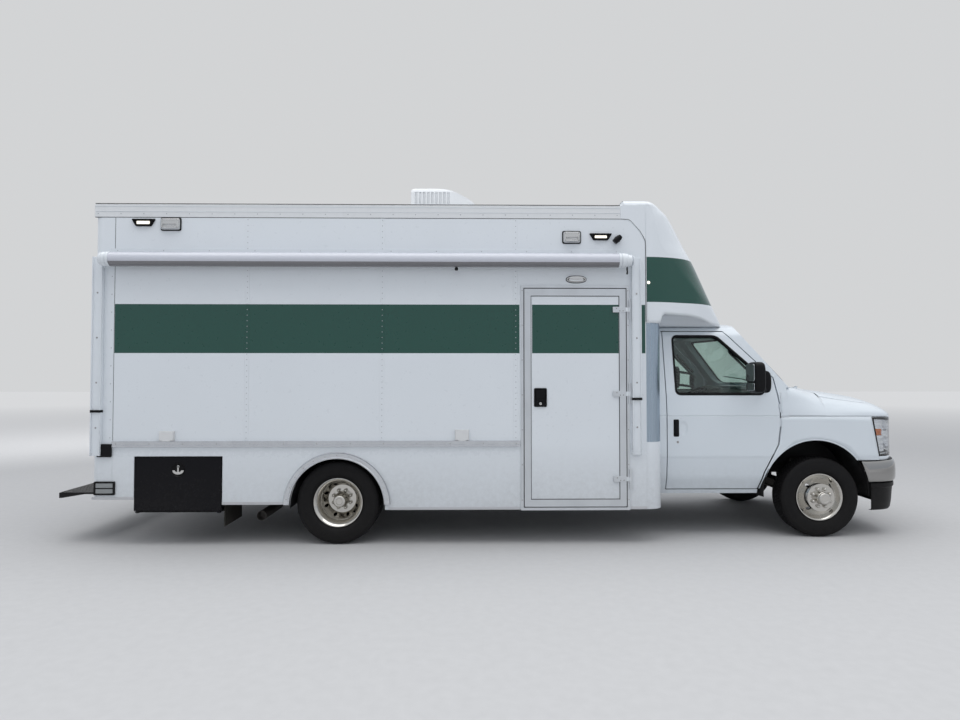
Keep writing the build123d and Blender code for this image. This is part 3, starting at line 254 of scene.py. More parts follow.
def moulding(path, axis, profile, base=0.0):
    """A strip round a closed outline. Its section is (outward, height) pairs, anticlockwise,
    and base is the height of the surface under each point of the outline."""
    a, b, c = AXES[axis]
    ahead = np.roll(path, -1, 0) - np.roll(path, 1, 0)
    ahead /= np.linalg.norm(ahead, axis=1)[:, None]
    out, high = np.array(profile, float).T
    corners = np.zeros((len(path), len(out), 3))
    corners[..., a] = path[:, :1] + ahead[:, 1:] * out
    corners[..., b] = path[:, 1:] - ahead[:, :1] * out
    corners[..., c] = np.reshape(base, (-1, 1)) + high
    return corners.reshape(-1, 3), grid_faces(len(path), len(out), True, True)


def domes(places, axis, radius, height, sides=6):
    """Small rounded heads: a ring at the foot, a smaller ring higher up, and one top corner."""
    a, b, c = AXES[axis]
    t = np.linspace(0, 2 * np.pi, sides, endpoint=False)
    head = np.zeros((2 * sides + 1, 3))
    head[:sides, a], head[:sides, b] = radius * np.cos(t), radius * np.sin(t)
    head[sides:-1, a], head[sides:-1, b] = 0.7 * head[:sides, a], 0.7 * head[:sides, b]
    head[sides:-1, c], head[-1, c] = 0.75 * height, height
    i = np.arange(sides)
    j = (i + 1) % sides
    quads = np.stack([i, j, j + sides, i + sides], 1)
    tips = np.stack([i + sides, j + sides, np.full(sides, 2 * sides)], 1)
    places = np.asarray(places, float).reshape(-1, 3)
    shift = np.arange(len(places))[:, None, None] * len(head)
    corners = places[:, None] + head[None]
    return corners.reshape(-1, 3), (quads + shift).reshape(-1, 4), (tips + shift).reshape(-1, 3)


def line(first, last, pitch):
    """Evenly spaced places from first to last, about pitch apart."""
    first, last = np.array(first, float), np.array(last, float)
    count = max(2, int(round(np.linalg.norm(last - first) / pitch)) + 1)
    return first + np.linspace(0, 1, count)[:, None] * (last - first)


def pillow(centre, half, power, rows=20, columns=32):
    """A rounded block: each half width times the cosines and sines of latitude and longitude,
    raised to two over power, so a larger power comes nearer to a box."""
    def bent(v):
        return np.sign(v) * np.abs(v) ** (2 / power)
    up = np.radians(np.linspace(-86, 86, rows))[:, None]
    turn = np.linspace(0, 2 * np.pi, columns, endpoint=False)[None]
    corners = np.stack([bent(np.cos(up)) * bent(np.cos(turn)), bent(np.cos(up)) * bent(np.sin(turn)),
                        bent(np.sin(up)) + 0 * turn], -1) * half + centre
    i = np.arange(columns)
    faces = grid_faces(rows, columns, False, True)[:, ::-1]
    return corners.reshape(-1, 3), faces, i[None, ::-1], i[None] + (rows - 1) * columns


def pair(*shapes):
    """Parts that hold each shape and its twin on the other side."""
    parts = Parts()
    for shape in shapes:
        parts.add(*shape)
        parts.add(*flipped(shape))
    return parts


def single(*shapes):
    """Parts that hold each shape once."""
    parts = Parts()
    for shape in shapes:
        parts.add(*shape)
    return parts


def on_side(side, *shapes):
    """Parts on one side of the vehicle, of shapes drawn for its left."""
    return single(*[flipped(shape) if side == "right" else shape for shape in shapes])


def right(*shapes):
    """Parts on the right side, which is the one the photo shows."""
    return on_side("right", *shapes)


def facing_rear(shape, x):
    """A shape drawn facing +X from zero, turned to face rearwards from X."""
    corners, *faces = shape
    return (np.asarray(corners) * (-1, 1, 1) + (x, 0, 0), *[np.asarray(f)[:, ::-1] for f in faces])


# %% [markdown]
# ## Finishes
#
# Paint, rubber and metal differ by small things: how the colour drifts over a panel, where
# road film settles, and how fine the surface's bumps are. Each of these is a node group with
# named inputs, placed in many materials with different values. The shader itself stays in the
# material.

# %% Building a node group
def group(name, inputs, outputs):
    """An empty shader group: its tree, the sockets it is given and fills, and Object coordinates."""
    tree = bpy.data.node_groups.new(name, "ShaderNodeTree")
    for label, kind, value in inputs:
        socket = tree.interface.new_socket(label, in_out="INPUT", socket_type="NodeSocket" + kind)
        socket.default_value = value
    for label, kind in outputs:
        tree.interface.new_socket(label, in_out="OUTPUT", socket_type="NodeSocket" + kind)
    given, result = tree.nodes.new("NodeGroupInput"), tree.nodes.new("NodeGroupOutput")
    place = tree.nodes.new("ShaderNodeTexCoord").outputs["Object"]
    return tree, given.outputs, result.inputs, place


def feed(tree, socket, source):
    """Link a socket to another one, or set it to a plain value."""
    if isinstance(source, bpy.types.NodeSocket):
        tree.links.new(source, socket)
    else:
        socket.default_value = source


def node(tree, kind, links=(), **values):
    """A node with some properties set, and its inputs linked or given a value by name."""
    made = tree.nodes.new("ShaderNode" + kind)
    for key, value in values.items():
        setattr(made, key, value)
    for label, source in dict(links).items():
        feed(tree, made.inputs[label], source)
    return made


def maths(tree, operation, a, b=0.0, clamp=False):
    """The result of one sum on two sockets or numbers."""
    return node(tree, "Math", {0: a, 1: b}, operation=operation, use_clamp=clamp).outputs[0]


def mixed(tree, factor, first, second, blend="MIX"):
    """The colour between two others."""
    made = node(tree, "Mix", data_type="RGBA", blend_type=blend)
    for index, source in ((0, factor), (6, first), (7, second)):
        feed(tree, made.inputs[index], source)
    return made.outputs[2]


# %% [markdown]
# The first group drifts a colour slightly over a panel and lays a thin grey road film on the
# lower part, thickest near the ground. It also puts out the roughness, since film is dull.

# %% Road film
tree, given, result, place = group(
    "road_film",
    [("Colour", "Color", (0.8, 0.8, 0.8, 1)), ("Film", "Float", 0.5), ("Height", "Float", 0.9),
     ("Roughness", "Float", 0.3), ("Drift", "Float", 0.04)],
    [("Colour", "Color"), ("Roughness", "Float")])
broad = node(tree, "TexNoise", {"Vector": place, "Scale": 1.3, "Detail": 4.0}).outputs["Fac"]
fine = node(tree, "TexNoise",
            {"Vector": place, "Scale": 23.0, "Detail": 6.0, "Roughness": 0.65}).outputs["Fac"]
height = node(tree, "SeparateXYZ", {"Vector": place}).outputs["Z"]
low = maths(tree, "SUBTRACT", 1.0, maths(tree, "DIVIDE", height, given["Height"]), clamp=True)
speckle = maths(tree, "MULTIPLY", fine, maths(tree, "ADD", broad, 0.35))
film = maths(tree, "MULTIPLY", maths(tree, "MULTIPLY", maths(tree, "MULTIPLY", low, speckle), 2.2),
             given["Film"], clamp=True)
drift = maths(tree, "MULTIPLY", maths(tree, "SUBTRACT", broad, 0.5), given["Drift"])
shade = maths(tree, "ADD", 1.0, drift)
grey = node(tree, "CombineColor", {"Red": shade, "Green": shade, "Blue": shade}).outputs[0]
drifted = mixed(tree, 1.0, given["Colour"], grey, "MULTIPLY")
filmed = mixed(tree, film, drifted, (0.16, 0.145, 0.125, 1))
tree.links.new(filmed, result["Colour"])
dull = maths(tree, "ADD", given["Roughness"], maths(tree, "MULTIPLY", film, 0.5))
dull = maths(tree, "ADD", dull, maths(tree, "MULTIPLY", maths(tree, "SUBTRACT", fine, 0.5), 0.05),
             clamp=True)
tree.links.new(dull, result["Roughness"])
road_film = tree

# %% [markdown]
# Sprayed paint has a faint peel, moulded plastic a grain and cast iron a coarse skin. One
# group gives all three: noise of a chosen size turned into a bump of a chosen depth. Bare metal
# has streaks instead, drawn out along the axes with the smaller numbers, which also dull it.

# %% Fine bump and brushed streaks
tree, given, result, place = group(
    "fine_bump", [("Scale", "Float", 300.0), ("Depth", "Float", 0.1)], [("Normal", "Vector")])
grain = node(tree, "TexNoise", {"Vector": place, "Scale": given["Scale"], "Detail": 2.0}).outputs["Fac"]
soft = node(tree, "Bevel", {"Radius": 0.004}, samples=3).outputs["Normal"]
bump = node(tree, "Bump", {"Height": grain, "Strength": given["Depth"], "Distance": 0.001,
                           "Normal": soft})
tree.links.new(bump.outputs["Normal"], result["Normal"])
fine_bump = tree

tree, given, result, place = group(
    "brushed", [("Colour", "Color", (0.7, 0.7, 0.7, 1)), ("Across", "Vector", (4, 4, 260)),
                ("Roughness", "Float", 0.3), ("Amount", "Float", 0.35)],
    [("Colour", "Color"), ("Roughness", "Float"), ("Normal", "Vector")])
along = node(tree, "VectorMath", {0: place, 1: given["Across"]}, operation="MULTIPLY").outputs[0]
streak = node(tree, "TexNoise", {"Vector": along, "Scale": 1.0, "Detail": 3.0}).outputs["Fac"]
worn = maths(tree, "MULTIPLY", streak, given["Amount"])
tree.links.new(mixed(tree, worn, given["Colour"], (0.25, 0.25, 0.26, 1)), result["Colour"])
tree.links.new(maths(tree, "ADD", given["Roughness"], maths(tree, "MULTIPLY", worn, 0.5)),
               result["Roughness"])
strength = maths(tree, "MULTIPLY", given["Amount"], 0.3)
bump = node(tree, "Bump", {"Height": streak, "Strength": strength, "Distance": 0.001})
tree.links.new(bump.outputs["Normal"], result["Normal"])
brushed = tree

# %% [markdown]
# The cab's side panels carry two pressed lines: a thin groove level with the headlamps' top and
# a soft fold lower down. Both are heights that depend on Z, turned into a bump. An oval dent ahead
# of the door handle leaves room for fingers.

# %% Pressed lines
tree, given, result, place = group("pressed_lines", [("Depth", "Float", 0.003)], [("Normal", "Vector")])
height = node(tree, "SeparateXYZ", {"Vector": place}).outputs["Z"]
off_line = maths(tree, "ABSOLUTE", maths(tree, "SUBTRACT", height, 1.134))
groove = maths(tree, "SUBTRACT", 1.0, maths(tree, "DIVIDE", off_line, 0.007), clamp=True)
fold = node(tree, "MapRange", {"Value": height, "From Min": 0.735, "From Max": 0.765},
            interpolation_type="SMOOTHSTEP").outputs["Result"]
from_dent = node(tree, "VectorMath", {0: place, 1: (-1.758, 0, -1.02)}, operation="ADD").outputs[0]
from_dent = node(tree, "VectorMath", {0: from_dent, 1: (23, 0, 14)}, operation="MULTIPLY").outputs[0]
from_dent = node(tree, "VectorMath", {0: from_dent}, operation="LENGTH").outputs["Value"]
dent = node(tree, "MapRange", {"Value": from_dent, "From Min": 0.45, "From Max": 1.1},
            interpolation_type="SMOOTHSTEP").outputs["Result"]
form = maths(tree, "ADD", maths(tree, "SUBTRACT", fold, groove), maths(tree, "MULTIPLY", dent, 2.2))
soft = node(tree, "Bevel", {"Radius": 0.004}, samples=3).outputs["Normal"]
bump = node(tree, "Bump", {"Height": form, "Strength": 1.0, "Distance": given["Depth"],
                           "Normal": soft})
tree.links.new(bump.outputs["Normal"], result["Normal"])
pressed_lines = tree

# %% [markdown]
# The broad green stripe is paint, not a panel. It is a mask on Object coordinates: one inside
# a band of X and Z, zero outside, so it stays on the panels when a door swings. The same mask
# paints a grey band of shade on the underside of the awning cover.

# %% Stripe mask
tree, given, result, place = group(
    "stripe", [("Colour", "Color", (0.8, 0.8, 0.8, 1)), ("Rear", "Float", -5.0),
               ("Front", "Float", 5.0), ("Low", "Float", 1.714), ("High", "Float", 2.153),
               ("Out", "Float", 1.2), ("Band", "Color", (0.003, 0.06, 0.043, 1))],
    [("Colour", "Color"), ("Mask", "Float")])
axes = node(tree, "SeparateXYZ", {"Vector": place}).outputs
inside = maths(tree, "GREATER_THAN", axes["X"], given["Rear"])
for part in (maths(tree, "LESS_THAN", axes["X"], given["Front"]),
             maths(tree, "GREATER_THAN", axes["Z"], given["Low"]),
             maths(tree, "LESS_THAN", axes["Z"], given["High"]),
             maths(tree, "GREATER_THAN", maths(tree, "ABSOLUTE", axes["Y"]), given["Out"])):
    inside = maths(tree, "MULTIPLY", inside, part)
tree.links.new(mixed(tree, inside, given["Colour"], given["Band"]), result["Colour"])
tree.links.new(inside, result["Mask"])
stripe = tree


# %% Making one finish
def placed(tree, which, **links):
    """A node group put into a material, its named inputs linked or set."""
    made = tree.nodes.new("ShaderNodeGroup")
    made.node_tree = which
    for label, source in links.items():
        feed(tree, made.inputs[label], source)
    return made


def shader(name, **plain):
    """A material with one Principled shader, its plain values set on their own sockets."""
    made = bpy.data.materials.new(name)
    made.use_nodes = True
    principled = made.node_tree.nodes["Principled BSDF"]
    for label, value in plain.items():
        principled.inputs[label.replace("_", " ")].default_value = value
    return made, made.node_tree, principled


def coated(name, colour, roughness=0.3, film=0.35, height=0.9, scale=300.0, depth=0.015, bands=(),
           **plain):
    """Paint, plastic, rubber or iron: a drifting colour with road film and a fine bump."""
    made, tree, principled = shader(name, **plain)
    source = (*colour, 1)
    for band in bands:
        source = placed(tree, stripe, Colour=source, **band).outputs["Colour"]
    filmed = placed(tree, road_film, Colour=source, Film=film, Height=height, Roughness=roughness,
                    Drift=0.05)
    tree.links.new(filmed.outputs["Colour"], principled.inputs["Base Color"])
    tree.links.new(filmed.outputs["Roughness"], principled.inputs["Roughness"])
    bump = placed(tree, fine_bump, Scale=scale, Depth=depth)
    tree.links.new(bump.outputs["Normal"], principled.inputs["Normal"])
    return made


def metal(name, colour, roughness=0.3, across=(4, 4, 260), amount=0.35, **plain):
    """Bare metal with streaks that run square to the axis given the largest number."""
    made, tree, principled = shader(name, Metallic=1.0, **plain)
    streaks = placed(tree, brushed, Colour=(*colour, 1), Across=across, Roughness=roughness,
                     Amount=amount)
    for label, socket in (("Colour", "Base Color"), ("Roughness", "Roughness"), ("Normal", "Normal")):
        tree.links.new(streaks.outputs[label], principled.inputs[socket])
    return made


# %% [markdown]
# The body is white gloss paint that looks slightly blue in open shade. The stripe is broken
# where frames and posts cross it, so each panel gets the bands that fall on it.

# %% Paints
WHITE = (0.73, 0.77, 0.81)
wall_band = {"Rear": fx(-6459), "Front": fx(-2839)}
cap_band = {"Rear": fx(-1685), "Front": 3.4, "Low": 2.18, "High": 2.59, "Out": -1.0}
gloss = {"Coat_Weight": 0.35, "Coat_Roughness": 0.06}
white_paint = coated("white_paint", WHITE, 0.26, **gloss)
wall_paint = coated("wall_paint", WHITE, 0.28, bands=[
    wall_band, {"Rear": fx(-1822), "Front": fx(-1700)}], **gloss)
left_wall_paint = coated("left_wall_paint", WHITE, 0.28, bands=[
    {"Rear": fx(-6459), "Front": fx(-1700)}], **gloss)
door_paint = coated("door_paint", WHITE, 0.28, bands=[
    {"Rear": fx(-2726), "Front": fx(-1943)}], **gloss)
cap_paint = coated("cap_paint", WHITE, 0.24, bands=[cap_band], **gloss)
cap_plain = coated("cap_plain", WHITE, 0.24, **gloss)
# The awning cover is painted grey below 2.516 m: painted shade on its underside.
awning_paint = coated("awning_paint", (0.61, 0.63, 0.7), 0.22, film=0.1, height=9, depth=0.015,
                      bands=[{"Rear": -5.0, "Front": 5.0, "Low": 2.0, "High": 2.516, "Out": -1.0,
                              "Band": (0.2, 0.2, 0.215, 1)}], **gloss)
cab_paint = coated("cab_paint", (0.68, 0.735, 0.785), 0.16, film=0.3, height=0.8, depth=0.02, **gloss)
cab_tree = cab_paint.node_tree
cab_tree.links.new(placed(cab_tree, pressed_lines, Depth=0.003).outputs["Normal"],
                   cab_tree.nodes["Principled BSDF"].inputs["Normal"])
roof_paint = coated("roof_paint", (0.76, 0.78, 0.8), 0.34, film=0.1, height=9.0)
matt = {"Specular_IOR_Level": 0.14}
toolbox_paint = coated("toolbox_paint", (0.004, 0.004, 0.006), 0.26, film=0.05, **matt)
chassis_paint = coated("chassis_paint", (0.01, 0.01, 0.01), 0.55, film=0.35, scale=120, depth=0.2,
                       **matt)

# %% Plastics, rubber, iron and cloth
black_plastic = coated("black_plastic", (0.006, 0.006, 0.007), 0.42, film=0.08, scale=700, depth=0.12,
                       **matt)
grey_plastic = coated("grey_plastic", (0.045, 0.047, 0.05), 0.6, film=0, scale=600, depth=0.3)
seal_rubber = coated("seal_rubber", (0.007, 0.007, 0.008), 0.6, film=0.1, scale=400, depth=0.2, **matt)
tyre_rubber = coated("tyre_rubber", (0.006, 0.006, 0.007), 0.62, film=0.05, height=1.2, scale=260,
                     depth=0.35, **matt)
flap_rubber = coated("flap_rubber", (0.008, 0.008, 0.008), 0.7, film=0.3, scale=200, depth=0.4, **matt)
cast_iron = coated("cast_iron", (0.055, 0.05, 0.045), 0.75, film=0.5, scale=90, depth=0.6)
seat_cloth = coated("seat_cloth", (0.07, 0.075, 0.08), 0.9, film=0, scale=900, depth=0.6)
white_plastic = coated("white_plastic", (0.72, 0.73, 0.74), 0.38, film=0.15, height=2, scale=500,
                       depth=0.1)
black_gloss = coated("black_gloss", (0.005, 0.005, 0.006), 0.16, film=0.05, scale=500, depth=0.04,
                     **matt)
floor_vinyl = coated("floor_vinyl", (0.2, 0.21, 0.22), 0.5, film=0.1, height=2, scale=150, depth=0.3)

# %% Metals and glass
aluminium = metal("aluminium", (0.66, 0.67, 0.69), 0.3)
door_metal = metal("door_metal", (0.75, 0.78, 0.81), 0.26, across=(5, 5, 3), amount=0.4)
flare_metal = metal("flare_metal", (0.7, 0.72, 0.75), 0.16, across=(9, 9, 9), amount=0.3)
exhaust_metal = metal("exhaust_metal", (0.085, 0.075, 0.065), 0.55, across=(40, 40, 40))
chrome = metal("chrome", (0.72, 0.71, 0.69), 0.1, across=(3, 3, 60))
wheel_chrome = metal("wheel_chrome", (0.6, 0.58, 0.54), 0.09, across=(12, 12, 12), amount=0.12)
bumper_chrome = metal("bumper_chrome", (0.36, 0.355, 0.345), 0.07, across=(2, 2, 9), amount=0.1)
lamp_silver = metal("lamp_silver", (0.86, 0.87, 0.89), 0.12, across=(20, 20, 20), amount=0.08)
mirror_glass = metal("mirror_glass", (0.8, 0.84, 0.86), 0.03, across=(5, 5, 5), amount=0.04)
steel = metal("steel", (0.38, 0.37, 0.36), 0.42, across=(60, 60, 60))
rivet_metal = metal("rivet_metal", (0.5, 0.52, 0.55), 0.35, across=(200, 200, 200))


def clear(name, colour, roughness=0.02):
    """Glass or a clear lens, with a faint smear over its roughness."""
    made, tree, principled = shader(name, Transmission_Weight=1.0, Metallic=0.0, IOR=1.45)
    filmed = placed(tree, road_film, Colour=(*colour, 1), Film=0.1, Height=2.0, Roughness=roughness,
                    Drift=0.06)
    tree.links.new(filmed.outputs["Colour"], principled.inputs["Base Color"])
    tree.links.new(filmed.outputs["Roughness"], principled.inputs["Roughness"])
    return made


glass = clear("glass", (0.62, 0.74, 0.7))
lens = clear("lens", (0.93, 0.95, 0.97), 0.05)
moulded = {"film": 0.05, "scale": 400, "depth": 0.2, "Coat_Weight": 0.6}
amber_lens = coated("amber_lens", (0.85, 0.2, 0.02), 0.12, **moulded)
red_lens = coated("red_lens", (0.55, 0.012, 0.012), 0.12, **moulded)
white_lens = coated("white_lens", (0.85, 0.87, 0.9), 0.15, **moulded)
grey_lens = coated("grey_lens", (0.24, 0.255, 0.26), 0.12, film=0.1, scale=400, depth=0.3,
                   Coat_Weight=0.6)
lit_strip = coated("lit_strip", (0.95, 0.93, 0.85), 0.25, film=0.0, scale=400, depth=0.1,
                   Emission_Color=(1.0, 0.93, 0.78, 1), Emission_Strength=0.9)

# %% [markdown]
# The front corner posts are bare metal between the skirt and the nose cap, and painted
# elsewhere. The same mask that draws the stripe tells one from the other. The bare metal's
# blue-grey colour is a painted reflection of the sky.

# %% Post finish
post_metal, tree, principled = shader("post_metal")
painted = placed(tree, road_film, Colour=(*WHITE, 1), Film=0.35, Height=0.9, Roughness=0.3)
# Blue-grey metal colour: a painted reflection of the sky on the polished posts.
streaks = placed(tree, brushed, Colour=(0.4, 0.49, 0.58, 1), Across=(150, 150, 2), Roughness=0.2)
bare = placed(tree, stripe, Rear=0.0, Front=5.0, Low=0.915, High=3.0, Out=-1.0).outputs["Mask"]
tree.links.new(mixed(tree, bare, painted.outputs["Colour"], streaks.outputs["Colour"]),
               principled.inputs["Base Color"])
tree.links.new(bare, principled.inputs["Metallic"])
metal_part = maths(tree, "MULTIPLY", bare, streaks.outputs["Roughness"])
paint_part = maths(tree, "MULTIPLY", maths(tree, "SUBTRACT", 1.0, bare), painted.outputs["Roughness"])
tree.links.new(maths(tree, "ADD", metal_part, paint_part), principled.inputs["Roughness"])
tree.links.new(placed(tree, fine_bump, Scale=300.0, Depth=0.05).outputs["Normal"],
               principled.inputs["Normal"])

# %% How many finishes there are
print("finishes", len(bpy.data.materials))

# %% [markdown]
# ## Finishes for the CAD pieces
#
# Panels, frames and castings already have their real shape, so they keep it and only get a
# finish. The few that need a softer or busier form are replaced further down.

# %% Which finish each CAD piece wears
wears = {
    white_paint: ["box_wall_rear", "box_skirts", "awning_arms", "rear_door_left",
                  "rear_door_right", "box_wall_front"],
    wall_paint: ["box_wall_right"], left_wall_paint: ["box_wall_left"],
    door_paint: ["entry_door"], cap_paint: ["nose_cap"], roof_paint: ["box_roof", "roof_air_conditioner"],
    cab_paint: ["cab_shell", "hood", "front_fenders", "cab_door_left", "cab_door_right"],
    toolbox_paint: ["toolbox_body", "toolbox_lid"], chassis_paint: ["ladder_frame"],
    black_plastic: ["bumper_valance", "rear_step", "mirror_left", "mirror_right", "steering_wheel",
                    "fuel_tank"],
    grey_plastic: ["dashboard"], flap_rubber: ["mud_flaps"],
    cast_iron: ["engine_block", "front_axle_beams", "rear_axle", "knuckle_left", "knuckle_right"],
    steel: ["suspension_springs"], exhaust_metal: ["exhaust_pipe"], flare_metal: ["flares_and_rub_rails"],
    post_metal: ["corner_posts"], door_metal: ["entry_door_frame"],
    chrome: ["grille"], bumper_chrome: ["front_bumper"],
    wheel_chrome: ["front_wheel_left", "front_wheel_right", "rear_wheel_left", "rear_wheel_right"],
    tyre_rubber: ["front_tyre_left", "front_tyre_right", "rear_tyres_left", "rear_tyres_right"],
    glass: ["windscreen", "door_glass_left", "door_glass_right", "rear_glass_left", "rear_glass_right"],
    lens: ["headlamps"], white_lens: ["body_lamps"], seat_cloth: ["cab_seats"],
    awning_paint: ["awning_roller"], floor_vinyl: ["box_floor"],
}
for finish, names in wears.items():
    for name in names:
        nodes[name].data.materials.clear()
        nodes[name].data.materials.append(finish)
print("dressed", sum(len(names) for names in wears.values()), "of", len(nodes))

# %% [markdown]
# ## Tyres with tread
#
# A tyre is one surface: an angle round the axle and a place along its section. The section is
# a table from bead to bead. The tread is worked into the radius: four grooves run round it,
# and each rib is cut by short slots, shifted from rib to rib. Sidewalls get two raised rings.
# The tyres stand in for the plain rings of the CAD model and stay inside their outline.

# %% Tyres
def tyre(centre, steps=300, pitch=75):
    """Angle and section to a place: the radius is the section's, less 7 mm in a groove."""
    side = [(0.076, 0.207), (0.0785, 0.222), (0.099, 0.236), (0.1085, 0.253), (0.11, 0.257),
            (0.11, 0.262), (0.1118, 0.268), (0.1125, 0.29), (0.1115, 0.318), (0.1095, 0.33),
            (0.1095, 0.333), (0.106, 0.343), (0.0985, 0.357), (0.089, 0.3655)]
    tread = np.array([0.084, 0.083, 0.054, 0.053, 0.046, 0.045, 0.022, 0.021, 0.014, 0.013])
    crown = np.concatenate([tread, -tread[::-1]])
    s = np.concatenate([[p[0] for p in side], crown, [-p[0] for p in side[::-1]]])
    base = np.interp(np.abs(crown), [0.0, 0.05, 0.084], [0.3718, 0.3712, 0.367])
    r = np.concatenate([[p[1] for p in side], base, [p[1] for p in side[::-1]]])
    deep = np.zeros(len(s))
    first = len(side)
    rib = np.zeros(len(s), int)
    for k, (a, b) in enumerate([(3, 4), (7, 8), (11, 12), (15, 16)]):
        deep[first + a:first + b + 1] = 0.008
        rib[first + b:] = k + 1
    t = np.arange(steps)
    phase = (t[:, None] + rib[None] * 2) % (steps // pitch)
    on_tread = np.zeros(len(s), bool)
    on_tread[first:first + len(crown)] = True
    slot_depth = np.where((phase == 0) & on_tread[None], 0.0045, 0.0)
    radius = r[None] - np.maximum(deep[None], slot_depth)
    angle = t * 2 * np.pi / steps
    corners = np.stack([radius * np.sin(angle)[:, None], s[None] + 0 * radius,
                        radius * np.cos(angle)[:, None]], -1) + np.array(centre)
    return corners.reshape(-1, 3), grid_faces(steps, len(s), True, True)[:, ::-1]


TWIN = 0.131
for side, sign in SIDES:
    front = build("tread_front_" + side, single(tyre((FRONT_AXLE, sign * FRONT_TRACK, WHEEL_Z))),
                  tyre_rubber, "front_wheel_" + side, sharp=28)
    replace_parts(front, "front_tyre_" + side)
    rears = single(tyre((REAR_AXLE, sign * (REAR_TRACK + TWIN), WHEEL_Z)),
                   tyre((REAR_AXLE, sign * (REAR_TRACK - TWIN), WHEEL_Z)))
    rear = build("tread_rear_" + side, rears, tyre_rubber, "rear_wheels_" + side, sharp=28)
    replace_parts(rear, "rear_tyres_" + side)
print("tyres", len(front.data.polygons), "faces each")

# %% [markdown]
# ## Wheel covers
#
# The steel wheels wear bright liners. Each liner is a turned sheet that follows the wheel from
# the rim's edge down to the hub, with a rolled lip. Eight nuts stand round the hub, and the hub
# cap has a step and a dished end.

# %% Liners, nuts and hub caps
def nuts(centre, circle, low, high, count=8, width=0.0165):
    """Six-sided nuts with domed ends, their axes along Y."""
    shapes = []
    for k in range(count):
        t = 2 * math.pi * (k + 0.5) / count
        spot = (centre[0] + circle * math.sin(t), centre[1], centre[2] + circle * math.cos(t))
        rise = high - low
        shapes.append(disc([(low, 0), (low, width), (low + 0.7 * rise, width),
                            (low + 0.92 * rise, 0.6 * width), (high, 0)], spot, steps=6, turn=t))
    return shapes


def dressed_wheel(name, body, x, y, sign, liner, cap, nut_low, nut_high):
    """A liner, a ring of nuts and a hub cap on one wheel, all turned about its axle."""
    centre = (x, 0, WHEEL_Z)
    sheet = np.array(liner)
    back = (sheet - (0.0025, 0))[::-1]
    profile = np.concatenate([sheet, back])
    shapes = [ring(profile, centre, steps=96)]
    shapes += nuts(centre, 0.085, nut_low, nut_high)
    shapes.append(disc(cap, centre, steps=40))
    shapes = [(np.asarray(c) + (0, y, 0), *f) for c, *f in shapes]
    if sign < 0:
        shapes = [flipped(shape) for shape in shapes]
    return build(name, single(*shapes), wheel_chrome, body, sharp=40)


front_liner = [(0.089, 0.2215), (0.092, 0.219), (0.0925, 0.2145), (0.0895, 0.2095), (0.076, 0.1975),
               (0.071, 0.192), (0.049, 0.1765), (0.0475, 0.1735)]
rear_liner = [(0.2195, 0.2215), (0.223, 0.219), (0.2235, 0.2145), (0.2205, 0.21), (0.208, 0.1985),
              (0.202, 0.193), (0.173, 0.1735), (0.12, 0.1725), (0.105, 0.17)]
front_cap = [(0.11, 0), (0.11, 0.064), (0.17, 0.06), (0.174, 0.056), (0.188, 0.0545), (0.195, 0.049),
             (0.1975, 0.04), (0.1965, 0.03), (0.1935, 0.027), (0.1935, 0)]
rear_cap = [(0.008, 0), (0.008, 0.072), (0.11, 0.064), (0.116, 0.06), (0.165, 0.057), (0.176, 0.05),
            (0.1795, 0.04), (0.1785, 0.03), (0.175, 0.027), (0.175, 0)]
for side, sign in SIDES:
    dressed_wheel("front_cover_" + side, "front_wheel_" + side, FRONT_AXLE, FRONT_TRACK, sign,
                  front_liner, front_cap, 0.112, 0.147)
    dressed_wheel("rear_cover_" + side, "rear_wheels_" + side, REAR_AXLE, REAR_TRACK, sign, rear_liner,
                  rear_cap, 0.016, 0.06)
print("wheel covers made")

# %% [markdown]
# ## Rivets and seams on the box
#
# The side panels are riveted to posts every 1.2 m. Close up, each rivet is a low dome some
# 10 mm across, and a row of them is what shows where a seam runs. A thin strip lies under
# each row. The roof rail has its own sparse row, and a dark sealant line runs along its edges.

# %% Rivets, seam strips and sealant
SEAMS = (-5283, -4075, -2873)
REAR_RIVETS = -6487
RAIL = (-6645, -1925)
face = SIDE + 0.0002
heads, strips = [], []
for x in SEAMS:
    heads.append(line((fx(x), face, 0.955), (fx(x), face, 2.455), 0.05))
    heads.append(line((fx(x), face, 2.655), (fx(x), face, 2.915), 0.05))
    strips.append(on_wall(x - 19, x + 19, 0.932, 2.934, -0.001, 0.0008))
heads.append(line((fx(REAR_RIVETS), face, 0.96), (fx(REAR_RIVETS), face, 2.4), 0.16))
heads.append(line((fx(-6620), face, 2.967), (fx(-1950), face, 2.967), 0.205))
heads.append(line((fx(-6440), face + 0.002, 2.634), (fx(-1960), face + 0.002, 2.634), 0.39))
rivets = domes(np.concatenate(heads), "Y", 0.0052, 0.0022)
build("side_rivets", pair(rivets), rivet_metal)
build("seam_strips", pair(*strips), wall_paint, bevel=0.0006, levels=1)
sealant = [on_wall(*RAIL, 3.0545, 3.06, -0.002, 0.0018), on_wall(*RAIL, 2.9315, 2.9355, -0.002, 0.0012),
           on_wall(-6464, -6460.5, 0.935, 2.931, -0.002, 0.0006)]
build("sealant_lines", pair(*sealant), seal_rubber)
rail_lines = [on_wall(*RAIL, z, z + 0.004, -0.002, 0.0025) for z in (2.984, 3.03)]
build("roof_rail_beads", pair(*rail_lines), white_paint, bevel=0.001, levels=1)
print("rivets", sum(len(h) for h in heads) * 2)

# %% [markdown]
# The nose cap is moulded plastic. Its flange wraps over the front corner of the side panel
# with a curved edge, where a bead of sealant closes it.

